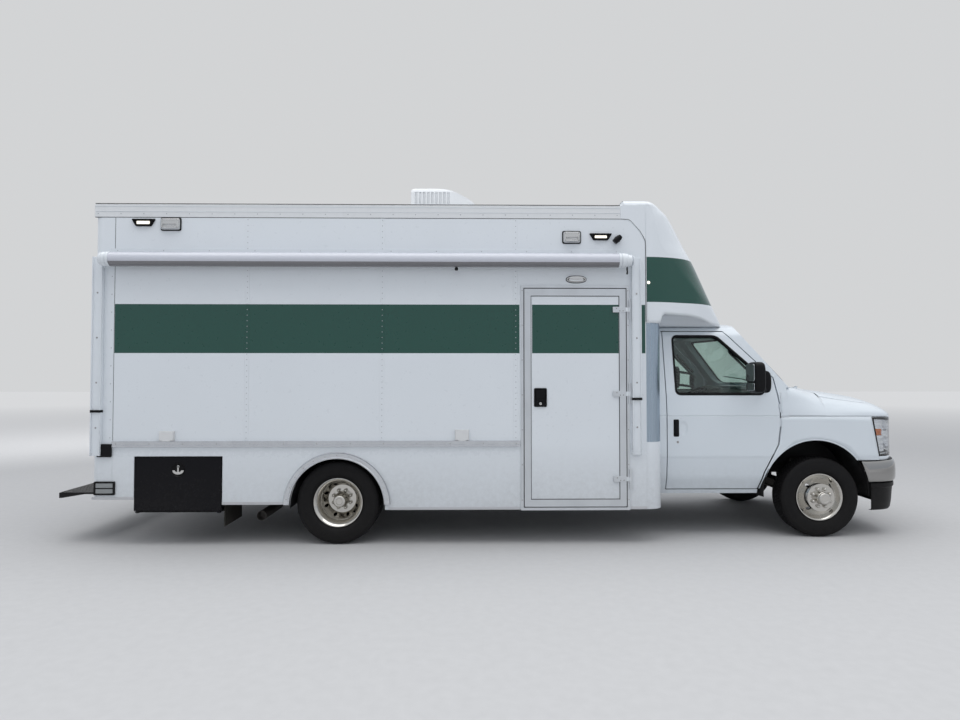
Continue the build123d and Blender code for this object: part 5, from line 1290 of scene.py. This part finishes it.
def cap_half(z, rear):
    """Half outlines at heights z: 26 places along the side, 10 round the corner, 16 across the front."""
    k = np.arange(52)
    front = through(*CAP_FRONT.T, z)
    reach = np.minimum(np.interp(z, [2.0, 2.17, 2.45, 2.65], [0.03, 0.13, 0.25, 0.32]),
                       0.7 * (front - BOX_FRONT))
    start, edge = front - reach, cap_wide(front, z)
    side_x = rear + (start - rear) * np.clip(k / 25, 0, 1)
    u, across = np.clip((k - 25) / 11, 0, 1), np.clip((k - 36) / 15, 0, 1)
    turn_x = (1 - u) ** 2 * start + (2 * u - u ** 2) * front
    turn_y = (1 - u) ** 2 * cap_wide(start, z) + 2 * u * (1 - u) * edge + u ** 2 * (edge - reach)
    y = np.where(k < 26, cap_wide(side_x, z), np.where(k < 36, turn_y, (edge - reach) * (1 - across)))
    return np.where(k < 26, side_x, turn_x), y


# %% Cap skin, underside and rear lip
z = np.concatenate([np.linspace(CAP_FOOT, 2.85, 27),
                    [2.88, 2.91, 2.94, 2.965, 2.985, 3.005, 3.02, 3.035, 3.048, 3.0601, 3.0605, 3.07,
                     3.079, 3.087, 3.093, 3.098, 3.102, 3.105, 3.107, 3.108]])
level = np.repeat(z[:, None], 52, 1)
rear = np.where(z > 3.0603, -1.893, BOX_FRONT)[:, None]
foot_x, foot_y = cap_half(level[:1], rear[:1])
low = HOLLOW_FOOT + (np.interp(foot_y, *HOLLOW) - HOLLOW_FOOT) * eased((foot_x + 1.56) / 0.05)
level = level + (low - CAP_FOOT) * np.clip(1 - (level - CAP_FOOT) / 0.3, 0, 1)
x, y = cap_half(level, rear)
half = xyz(x + FRONT_AXLE, y, level)
outer = skin(whole(half, 1))
count = 2 * 52 - 1
top = np.arange(len(outer[0]) - count, len(outer[0]))[None, ::-1]
foot = half[0][(half[0, :, 0] > 1.495) & (half[0, :, 1] > 0.81)]
v = np.linspace(0, 1, 12)[:, None]
y = foot[:, 1] + (0.79 - foot[:, 1]) * v
z = np.interp(y, *HOLLOW) + (foot[:, 2] - np.interp(foot[:, 1], *HOLLOW)) * (1 - v)
under = skin(xyz(foot[:, 0], y, z), True)
t = np.radians(np.linspace(0, 90, 8))
arc = np.stack([1.169 + 0.05 * np.cos(t), 3.058 + 0.05 * np.sin(t)], 1)[1:]
lip = plate(np.concatenate([[(-SIDE, 3.0605), (SIDE, 3.0605)], arc, (arc * (-1, 1))[::-1]]), "X", 1.157,
            1.16)
cap = build("cap_skin", pair(under).add(*outer, top).add(*lip), cap_paint, sharp=60)
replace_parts(sheeted(cap, 0.004), "nose_cap")
print("cap", len(cap.data.polygons))

# %% [markdown]
# ## Headlamps, grille and bumper
#
# The nose's plan is a superellipse, so a place on it follows from one angle. The lamp's clear
# cover lies on that curve, a fluted bright housing stands behind it with two bowls and an amber
# marker, and the bumper and its black valance are sections carried along a slightly longer one.

# %% Lamps
def lamp_angle(x):
    """The plan's angle at X: its sine is the way along the nose to the power 1.9."""
    u = np.clip((np.asarray(x) - FRONT_AXLE - 0.3) / NOSE, 0, 1)
    return np.arcsin(u ** 1.9)


def wrapped(z, rear, front_angle, inset, reach=NOSE, wide=CAB_HALF, columns=40, square=0.8):
    """A grid round the nose: rows at heights z, from each row's rear X to one angle, moved
    inwards by inset. Along the plan X goes with sine to the power 0.526, Y with cosine to square."""
    first = lamp_angle(rear)
    a = np.linspace(0, 1, columns)
    t = first[:, None] + (front_angle - first)[:, None] * a
    x, y = FRONT_AXLE + 0.3 + reach * np.sin(t) ** (1 / 1.9), wide * np.cos(t) ** square
    dx, dy = np.gradient(x, axis=1), np.gradient(y, axis=1)
    size = np.hypot(dx, dy)
    return xyz(x + inset * dy / size, y - inset * dx / size, np.asarray(z, float)[:, None])


INNER = np.full(1, math.radians(64))
MIDDLE = math.pi / 2 - 1e-4
z = np.linspace(0.759, 1.119, 12)
cover = build("lamp_covers", pair(skin(wrapped(z, lamp_line(z) + 0.004, INNER, 0.0))), lens, sharp=60)
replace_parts(sheeted(cover, 0.0025), "headlamps")
z = np.concatenate([[0.76, 0.762], np.linspace(0.765, 1.113, 60), [1.116, 1.118]])
inset = np.full((64, 64), 0.03)
flutes = np.abs(np.sin(np.linspace(0, 9 * math.pi, 64)))[:, None]
inset += 0.03 * np.linspace(0, 1, 64) ** 0.7 + 0.004 * flutes
inset[[0, -1]], inset[:, [0, -1]] = 0.004, 0.004
housing = wrapped(z, lamp_line(z) + 0.006, INNER, inset, columns=64)
sheeted(build("lamp_housings", pair(skin(housing)), lamp_silver, sharp=25), 0.002)
z = np.linspace(0.95, 1.012, 4)
side_lens = wrapped(z, fx(530) + 0 * z, lamp_angle(fx(600)) + 0 * z, 0.007, columns=12)
sheeted(build("lamp_markers", pair(skin(side_lens)), amber_lens), 0.01)
bowls = []
for height, out, size in ((1.035, 0.71, 0.066), (0.86, 0.715, 0.06)):
    r = np.linspace(0.01, size, 14)
    deep = 8.5 * r ** 2 - 8.5 * size ** 2
    back, front = np.stack([deep - 0.002, r], 1), np.stack([deep, r - 0.0005], 1)[::-1]
    bowls.append(ring(np.concatenate([back, front]), (fx(793), out, height), "X", 40))
    bowls.append(disc([(-0.045, 0), (-0.045, 0.012), (-0.012, 0.012), (-0.006, 0.008), (-0.005, 0)],
                      (fx(793), out, height), "X", 20))
build("lamp_bowls", pair(*bowls), lamp_silver, sharp=50)
z = np.linspace(0.765, 1.112, 6)
back = wrapped(z, fx(866) + 0 * z, np.full(6, MIDDLE), 0.052)
sheeted(build("grille_backing", single(skin(whole(back, 1))), black_plastic), 0.003)

# %% Bumper and valance
def nose_band(z, inset, rear):
    """A band right round the nose, its rows at heights z and moved inwards by inset."""
    z, inset = np.array(z, float) / 1000, np.array(inset, float)[:, None] / 1000
    rear = fx(np.array(rear, float))
    half = wrapped(z, rear, np.full(len(z), MIDDLE), inset, 0.629, 1.006, 60, 0.58)
    return skin(whole(half, 1))


bumper = build("bumper_skin", single(nose_band(
    [509, 511, 520, 540, 575, 620, 660, 690, 706, 713, 716, 716],
    [40, 22, 9, 2, 0, 0, 3, 8, 14, 22, 34, 90],
    [452, 451, 447, 441, 430, 416, 404, 395, 391, 390, 390, 390])), bumper_chrome, sharp=40)
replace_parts(sheeted(bumper, 0.004), "front_bumper")
valance = build("valance_skin", single(nose_band(
    [241, 243, 262, 330, 420, 452, 458, 462, 480, 500, 505],
    [90, 62, 50, 40, 33, 31, 27, 20, 18, 20, 30],
    [500, 498, 496, 490, 484, 482, 482, 478, 476, 475, 475])), black_plastic, sharp=35)
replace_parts(sheeted(valance, 0.004), "bumper_valance")
pad = nose_band([716.5, 721, 723, 721, 716.5], [26, 28, 44, 60, 64], [420] * 5)
build("bumper_pad", single(pad), black_plastic)
print("front end made")

# %% [markdown]
# ## Doors, glass edges and mirrors
#
# Black rubber frames each pane. The seal's section is carried round the opening and rides on
# the cab's curved side. Each mirror is a rounded head with two glasses on two arms.

# %% Seals, handles and locks
door_window = loop([(1.34, fx(-1345)), (1.89, fx(-1345)), (1.89, fx(-930)), (1.5, fx(-520)),
                    (1.34, fx(-520))], 0.045, 8)
CAB_SIDE = ([0.404, 0.56, 0.76, 1.145, 1.33, 1.905, 1.99],
            [0.925, 0.985, 1.007, 1.007, 0.985, 0.862, 0.795])
seal = moulding(door_window, "Y", [(0.013, 0.001), (0.011, 0.005), (-0.006, 0.004), (-0.014, -0.022),
                                   (-0.003, -0.024), (0.0, -0.002)],
                np.interp(door_window[:, 0], *CAB_SIDE))
for side in ("left", "right"):
    body = "cab_door_" + side
    build("window_seal_" + side, on_side(side, seal), seal_rubber, body, sharp=50)
    grip = [slab(0.943, 1.104, fx(-1384), fx(-1332), 0.012, 1.006, 1.0095),
            pillow((fx(-1358), 1.013, 1.0235), (0.015, 0.0085, 0.07), 3)]
    build("door_grip_" + side, on_side(side, *grip), black_plastic, body, bevel=0.001)
    lock = disc([(1.005, 0), (1.005, 0.011), (1.0095, 0.0105), (1.01, 0.008), (1.0085, 0.007),
                 (1.0085, 0)], (fx(-1345), 0, 0.893), steps=24)
    build("door_lock_" + side, on_side(side, lock), steel, body)
    head = [pillow((fx(-687), 1.2, 1.496), (0.054, 0.109, 0.141), 4.5, 32, 48),
            pillow((fx(-505), 0.968, 1.452), (0.062, 0.022, 0.108), 3),
            tube([(fx(-690), 1.16, 1.565), (fx(-640), 1.09, 1.563), (fx(-560), 1.0, 1.545),
                  (fx(-520), 0.962, 1.53)], [0.016, 0.016, 0.015, 0.018], 14),
            tube([(fx(-690), 1.16, 1.405), (fx(-630), 1.09, 1.4), (fx(-550), 1.01, 1.385),
                  (fx(-500), 0.975, 1.378)], [0.016, 0.016, 0.015, 0.018], 14)]
    mirror = build("mirror_head_" + side, on_side(side, *head), black_plastic, body, sharp=50)
    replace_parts(mirror, "mirror_" + side)
    panes = [plate(oblong(1.112, 1.288, low, high, 0.022), "X", fx(-743), fx(-739.5))
             for low, high in ((1.462, 1.618), (1.376, 1.448))]
    build("mirror_panes_" + side, on_side(side, *panes), mirror_glass, body, bevel=0.001)


SCREEN_ARC, SCREEN_LEAN = 2.3007, 0.91


def screen_x(y, z):
    """X of the windscreen's outer face: an arc in plan, leaning back as it rises."""
    return FRONT_AXLE - 0.06 - SCREEN_ARC + np.sqrt(SCREEN_ARC ** 2 - y ** 2) - SCREEN_LEAN * (z - 1.4)


opening = loop([(-0.8, 1.425), (0.8, 1.425), (0.69, 1.915), (-0.69, 1.915)], 0.07, 8)
fine = np.concatenate([line(a, b, 0.05)[:-1] for a, b in zip(opening, np.roll(opening, -1, 0))])
rubber = [moulding(fine, "X", [(0.014, 0.0), (0.01, 0.008), (-0.01, 0.008), (-0.016, -0.004),
                               (-0.014, -0.022), (0.002, -0.022)], screen_x(fine[:, 0], fine[:, 1]))]
build("windscreen_seal", single(*rubber), seal_rubber, sharp=50)
blades = []
for y0, y1 in ((0.1, 0.66), (-0.62, -0.06)):
    y = np.linspace(y0, y1, 16)
    z = 1.455 + 0.1 * (y - y0)
    blades.append(tube(xyz(screen_x(y, z) + 0.007, y, z), 0.006, 6))
    y = np.linspace(y0 - 0.02, (y0 + y1) / 2, 10)
    z = np.linspace(1.398, 1.455 + 0.05 * (y1 - y0), 10)
    blades.append(tube(xyz(screen_x(y, z) + 0.012, y, z), np.linspace(0.009, 0.005, 10), 8))
y = np.linspace(-0.6, 0.6, 40)
cowl_top = np.interp(np.abs(y), [0, 0.25, 0.5, 0.6], [1.402, 1.3984, 1.3835, 1.3714])
vent = np.stack([xyz(screen_x(y, 1.4) + dx, y, cowl_top + dz)
                 for dx, dz in ((0.012, 0.0006), (0.05, 0.0022), (0.095, 0.0022), (0.108, 0.0006))])
build("wipers", single(*blades), black_plastic, sharp=50)
sheeted(build("cowl_vent", single(skin(vent, True)), black_plastic), 0.003)
print("cab dressed")

# %% [markdown]
# ## Seats
#
# A seat cushion is a cover with foam pressing from inside. Each seat starts slightly small, is
# turned into an even net of points and filled with air as cloth, with no weight. A point may
# only move a little, so the seat keeps its form and gains its fullness. Piping follows after.

# %% Padded seats
def puffed(obj, limit, voxel=0.011, last=16):
    """Fill a closed mesh with air as cloth and cap how far each of its points moves."""
    net = obj.modifiers.new("net", "REMESH")
    net.mode, net.voxel_size = "VOXEL", voxel
    evaluated = obj.evaluated_get(bpy.context.evaluated_depsgraph_get())
    obj.data = bpy.data.meshes.new_from_object(evaluated)
    obj.modifiers.remove(net)
    rest = np.zeros(len(obj.data.vertices) * 3)
    obj.data.vertices.foreach_get("co", rest)
    cloth = obj.modifiers.new("cloth", "CLOTH")
    settings = cloth.settings
    settings.use_pressure, settings.uniform_pressure_force = True, 4.0
    settings.effector_weights.gravity = 0.0
    settings.quality, settings.mass = 4, 0.3
    cloth.point_cache.frame_end = last
    for step in range(1, last + 1):
        bpy.context.scene.frame_set(step)
    evaluated = obj.evaluated_get(bpy.context.evaluated_depsgraph_get())
    now = np.zeros(len(rest))
    evaluated.data.vertices.foreach_get("co", now)
    moved = (now - rest).reshape(-1, 3)
    size = np.linalg.norm(moved, axis=1)[:, None] + 1e-9
    moved *= np.minimum(1, limit / size)
    obj.modifiers.remove(cloth)
    bpy.context.scene.frame_set(1)
    obj.data.vertices.foreach_set("co", rest + moved.ravel())
    obj.data.update()
    return obj


seat_x = fx(-1330)
SEATS_Y = (-0.49, 0.49)


def side_cut(points, y, half, radius=0.03):
    """A side outline in millimetres from the seat's rear, carried across to a cushion."""
    return plate(loop([(z / 1000, seat_x + x / 1000) for x, z in points], radius), "Y", y - half,
                 y + half)


cushions = []
for y in SEATS_Y:
    cushions.append(side_cut([(80, 970), (90, 1070), (500, 1078), (522, 985), (490, 958)], y, 0.212))
    cushions.append(side_cut([(10, 990), (-45, 1540), (40, 1545), (98, 1090), (96, 990)], y, 0.208))
    cushions.append(side_cut([(-42, 1600), (-32, 1765), (22, 1765), (38, 1605)], y, 0.13))
seats = build("seat_cushions", single(*cushions), seat_cloth)
puffed(seats, 0.016)
seats.data.materials.clear()
seats.data.materials.append(seat_cloth)
seats.data.polygons.foreach_set("use_smooth", np.ones(len(seats.data.polygons), bool))
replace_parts(seats, "cab_seats")
rods, bases, piping = [], [], []
for y in SEATS_Y:
    for off in (-0.05, 0.05):
        rods.append(tube([(seat_x - 0.012, y + off, 1.53), (seat_x - 0.005, y + off, 1.63)], 0.006, 10))
    bases.append(box((seat_x + 0.07, y - 0.185, 0.7455), (seat_x + 0.43, y + 0.185, 0.945)))
    for half in (-0.205, 0.205):
        edge = np.array([(505, 1072), (300, 1082), (130, 1082), (96, 1150), (70, 1330),
                         (42, 1530)]) / 1000
        piping.append(tube(xyz(edge[:, 0] + seat_x, y + half, edge[:, 1]), 0.004, 6))
build("head_rest_posts", single(*rods), steel)
build("seat_bases", single(*bases), grey_plastic, bevel=0.008)
build("seat_piping", single(*piping), seal_rubber)
print("seats", len(seats.data.polygons))

# %% Steering wheel, grab handle and dials
def tilted(shape):
    """A shape drawn round Z at zero, leaned like the steering column and moved to its top."""
    corners, *faces = shape
    lean = math.radians(-30)
    turn = np.array([[math.cos(lean), 0, math.sin(lean)], [0, 1, 0],
                     [-math.sin(lean), 0, math.cos(lean)]])
    return (np.asarray(corners) @ turn.T + (fx(-720), 0.46, 1.29), *faces)


t = np.linspace(0, 2 * np.pi, 14, endpoint=False)
rim = np.stack([0.014 * np.sin(t), 0.19 + 0.014 * np.cos(t)], 1)
hub = [(-0.02, 0), (-0.02, 0.06), (0.01, 0.066), (0.018, 0.05), (0.02, 0)]
wheel = [ring(rim, (0, 0, 0), "Z", 64), disc(hub, (0, 0, 0), "Z", 40),
         tube([(0, 0, -0.235), (0, 0, -0.015)], 0.023, 20)]
for angle in (0, 100, -100):
    c, s = math.cos(math.radians(angle + 180)), math.sin(math.radians(angle + 180))
    wheel.append(tube([(0.04 * c, 0.04 * s, -0.004), (0.12 * c, 0.12 * s, -0.002),
                       (0.188 * c, 0.188 * s, 0)], [0.02, 0.013, 0.011], 10))
wheel = build("steering_rim", single(*[tilted(s) for s in wheel]), grey_plastic, sharp=50)
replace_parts(wheel, "steering_wheel")
handle = [tube([(fx(-575), y, 1.56), (fx(-610), y * 0.965, 1.585), (fx(-760), y * 0.955, 1.735),
                (fx(-775), y * 0.985, 1.765)], [0.014, 0.012, 0.012, 0.014], 12)
          for y in (0.815, -0.815)]
build("grab_handles", single(*handle), grey_plastic)
hood_y = np.linspace(0.26, 0.66, 24)
brow_rise = 0.045 * np.sin(np.pi * (hood_y - 0.26) / 0.4) ** 0.5
brow = np.stack([xyz(fx(dx), hood_y, z + brow_rise)
                 for dx, z in ((-600, 1.33), (-596, 1.342), (-500, 1.352), (-430, 1.345))])
sheeted(build("dial_hood", single(skin(brow, True)), grey_plastic, sharp=60), 0.004)
panels = [box((fx(-642), -0.7, 1.05), (fx(-646), -0.3, 1.18)),
          box((fx(-642), -0.2, 1.12), (fx(-647), 0.2, 1.19)),
          box((fx(-600), -0.62, 1.262), (fx(-612), -0.36, 1.275))]
build("dash_panels", single(*panels), black_plastic, bevel=0.002)
print("cab interior made")

# %% [markdown]
# ## Springs
#
# Front coils are tubes along a helix. Rear packs are curved leaves, each shorter than the one
# above, held by two bolts to the axle.

# %% Coils and leaves
SPRING_Y = 0.56
springs = []
for x, sign in ((3.095, 1), (3.005, -1)):
    t = np.linspace(0, 7 * 2 * np.pi, 220)
    rise = 0.4173 + 0.008 + (0.64 - 0.4333) * t / t[-1]
    path = xyz(x + 0.054 * np.cos(t), sign * SPRING_Y + 0.054 * np.sin(t), rise)
    springs.append(tube(path, 0.0075, 8))
for sign in (1, -1):
    for k, reach in enumerate((0.65, 0.56, 0.46, 0.35, 0.23)):
        x = np.linspace(-reach, reach, 25)
        z = 0.492 - 0.011 * k + 0.078 * (x / 0.65) ** 2
        thick = np.concatenate([np.stack([x, z + 0.0045], 1), np.stack([x, z - 0.0045], 1)[::-1]])
        shape = plate([(b, a + REAR_AXLE) for a, b in thick], "Y", sign * SPRING_Y - 0.036,
                      sign * SPRING_Y + 0.036)
        springs.append((shape[0], *[f[:, ::-1] for f in shape[1:]]))
    for dx in (-0.055, 0.055):
        path = [(REAR_AXLE + dx, sign * SPRING_Y - 0.045, 0.33),
                (REAR_AXLE + dx, sign * SPRING_Y - 0.045, 0.506),
                (REAR_AXLE + dx, sign * SPRING_Y + 0.045, 0.506),
                (REAR_AXLE + dx, sign * SPRING_Y + 0.045, 0.33)]
        springs.append(tube(path, 0.008, 8))
springs = build("spring_leaves", single(*springs), steel, sharp=40)
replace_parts(springs, "suspension_springs")
straps = [tube([(x, -0.445, 0.535), (x, -0.436, 0.345), (x, 0.436, 0.345), (x, 0.445, 0.535)], 0.007, 8)
          for x in (-3.0, -2.5)]
build("tank_straps", single(*straps), steel)

# %% [markdown]
# ## Rear doors and roof
#
# Each rear door has a rubber edge, a framed window, a black paddle handle and a grab rail, and
# each rides on its leaf. The step is an open grating. Behind the air conditioner's slots stands
# a black core: the unit's coil, and painted shade for the hollows behind the slots.

# %% Rear doors
LEAF_X = -3.604
LEAF_HINGES = (1.12, 1.72, 2.32)


def on_leaf(side, *shapes):
    """Parts on a rear door's outer face, of shapes drawn facing +X."""
    return on_side(side, *[facing_rear(shape, LEAF_X) for shape in shapes])


for side in ("left", "right"):
    body = "rear_door_" + side
    seals = [moulding(oblong(0.13, 0.49, 1.85, 2.35, 0.03), "X",
                      [(0.016, 0.0), (0.013, 0.005), (-0.004, 0.005), (-0.01, -0.014), (0.0, -0.014)]),
             moulding(oblong(0.01, 0.606, 0.884, 2.636, 0.01), "X",
                      [(0.0, 0.0), (-0.001, 0.004), (-0.01, 0.004), (-0.012, 0.0)])]
    build("leaf_seals_" + side, on_leaf(side, *seals), seal_rubber, body, sharp=50)
    latch_y = 0.06
    latch = [plate(oblong(latch_y - 0.035, latch_y + 0.075, 1.3, 1.47, 0.014), "X", -0.002, 0.006),
             plate(oblong(latch_y - 0.02, latch_y + 0.06, 1.33, 1.44, 0.008), "X", 0.0, 0.014)]
    build("leaf_latch_" + side, on_leaf(side, *latch), black_gloss, body, bevel=0.002)
    rail = tube([(0.004, 0.19, 1.56), (0.04, 0.19, 1.575), (0.046, 0.19, 1.61), (0.046, 0.19, 1.74),
                 (0.04, 0.19, 1.775), (0.004, 0.19, 1.79)], 0.011, 12)
    bars = [rail, box((0.0, 0.02, 1.0), (0.003, 0.596, 1.016)),
            box((0.0, 0.02, 1.7), (0.003, 0.12, 1.716))]
    build("leaf_rail_" + side, on_leaf(side, *bars), aluminium, body, bevel=0.001)
    plates = [plate(oblong(0.545, 0.61, z - 0.045, z + 0.045, 0.006), "X", 0.0, 0.004)
              for z in LEAF_HINGES]
    build("leaf_straps_" + side, on_leaf(side, *plates), aluminium, body, bevel=0.001)
    heads = domes([(0.0038, y, z + dz) for z in LEAF_HINGES for y in (0.562, 0.592)
                   for dz in (-0.028, 0.028)], "X", 0.006, 0.003, 8)
    build("leaf_screws_" + side, on_leaf(side, heads), steel, body)

# %% Step grating, clearance lamps and roof
teeth = [box((x, -1.04, 0.446), (x + 0.006, 1.04, 0.452)) for x in np.arange(-3.965, -3.65, 0.03)]
teeth += [box((-3.97, y, 0.446), (-3.645, y + 0.006, 0.45)) for y in np.arange(-1.03, 1.03, 0.06)]
build("step_grating", single(*teeth), steel)
tops = [pillow((-3.602, y, 3.0), (0.01, 0.045, 0.016), 3, 12, 20)
        for y in (-1.05, -0.2, 0.0, 0.2, 1.05)]
build("clearance_lamps", single(*tops), red_lens)
# Black block inside the air conditioner: its coil, and painted shade behind the slots.
core = [box((-0.812, -0.318, 3.125), (-0.4, 0.318, 3.436)),
        box((-0.4, -0.318, 3.125), (-0.15, 0.318, 3.23))]
build("cooler_core_and_shade", single(*core), black_plastic)
seam_xs = np.arange(-3.0, 1.2, 0.61)
bows = [box((x - 0.012, -1.1, 3.0585), (x + 0.012, 1.1, 3.0622)) for x in seam_xs]
build("roof_seams", single(*bows), roof_paint, bevel=0.001, levels=1)
filler = [slab(1.02, 1.2, -2.98, -2.8, 0.02, SIDE - 0.001, SIDE + 0.006),
          slab(1.032, 1.188, -2.968, -2.812, 0.015, SIDE + 0.004, SIDE + 0.01)]
build("fuel_filler", single(*filler), black_plastic, bevel=0.002)
print("rear and roof made")

# %% [markdown]
# ## Camera, light and floor
#
# The camera stands where the photographer stood, about seven metres from the right side at
# eye height, with the lens that makes the wheelbase come out right. The light is the soft,
# even kind of an overcast day: a bright sky above and a pale floor that bounces it.

# %% Camera
scene = bpy.context.scene
view = bpy.data.cameras.new("photo_view")
camera = bpy.data.objects.new("photo_view", view)
scene.collection.objects.link(camera)
view.lens, view.sensor_width = 24.56, 36.0
yaw, pitch = math.radians(0.9), math.radians(1.49)
camera.location = (fx(-3288), -7.11, 1.5)
camera.rotation_euler = (math.pi / 2 + pitch, 0, -yaw)
scene.camera = camera

# %% Floor and sky
corners, faces = box((-60, -60, -0.02), (60, 60, 0))
ground, tree, principled = shader("pale_floor", Roughness=0.9)
place = node(tree, "TexCoord").outputs["Object"]
grain = node(tree, "TexNoise", {"Vector": place, "Scale": 14.0, "Detail": 8.0}).outputs["Fac"]
away = node(tree, "VectorMath", {0: place}, operation="LENGTH").outputs["Value"]
fade = maths(tree, "DIVIDE", maths(tree, "SUBTRACT", away, 11.0), 24.0, clamp=True)
pale = mixed(tree, grain, (0.51, 0.51, 0.515, 1), (0.57, 0.57, 0.575, 1))
tree.links.new(mixed(tree, fade, pale, (0, 0, 0, 1)), principled.inputs["Base Color"])
tree.links.new(mixed(tree, fade, (0, 0, 0, 1), (0.645, 0.652, 0.664, 1)),
               principled.inputs["Emission Color"])
principled.inputs["Emission Strength"].default_value = 1.0
principled.inputs["Specular IOR Level"].default_value = 0.2
mesh = bpy.data.meshes.new("floor")
mesh.from_pydata(corners.tolist(), [], faces.tolist())
mesh.materials.append(ground)
floor = bpy.data.objects.new("floor", mesh)
scene.collection.objects.link(floor)
world = bpy.data.worlds.new("sky")
scene.world = world
world.use_nodes = True
tree = world.node_tree
background = tree.nodes["Background"]
rays = node(tree, "LightPath").outputs
seen = maths(tree, "ADD", maths(tree, "ADD", rays["Is Camera Ray"], rays["Is Transmission Ray"]), 0.0,
             clamp=True)
rise = node(tree, "SeparateXYZ",
            {"Vector": node(tree, "TexCoord").outputs["Generated"]}).outputs["Z"]
sky = mixed(tree, maths(tree, "MULTIPLY", rise, 1.4, clamp=True), (0.6, 0.64, 0.7, 1),
            (0.95, 0.97, 1, 1))
tree.links.new(mixed(tree, seen, sky, (0.72, 0.73, 0.74, 1)), background.inputs["Color"])
background.inputs["Strength"].default_value = 0.9


def lamp(name, place, aim, size, power):
    """A large soft area lamp at a place, turned to face a point."""
    data = bpy.data.lights.new(name, "AREA")
    data.shape, data.size, data.size_y, data.energy = "RECTANGLE", *size, power
    obj = bpy.data.objects.new(name, data)
    scene.collection.objects.link(obj)
    toward = np.array(aim, float) - np.array(place, float)
    obj.location = place
    obj.rotation_euler = (math.acos(toward[2] / np.linalg.norm(toward)) - math.pi, 0,
                          math.atan2(toward[1], toward[0]) - math.pi / 2)
    return obj


lamp("overhead", (0, -3.0, 9.0), (0, 0, 0.5), (14, 8), 520)
lamp("front_side", (6.0, -9.0, 5.0), (0, 0, 1.2), (8, 5), 400)
lamp("rear_side", (-8.0, 7.0, 6.0), (0, 0, 1.2), (8, 5), 350)
scene.view_settings.view_transform = "Standard"
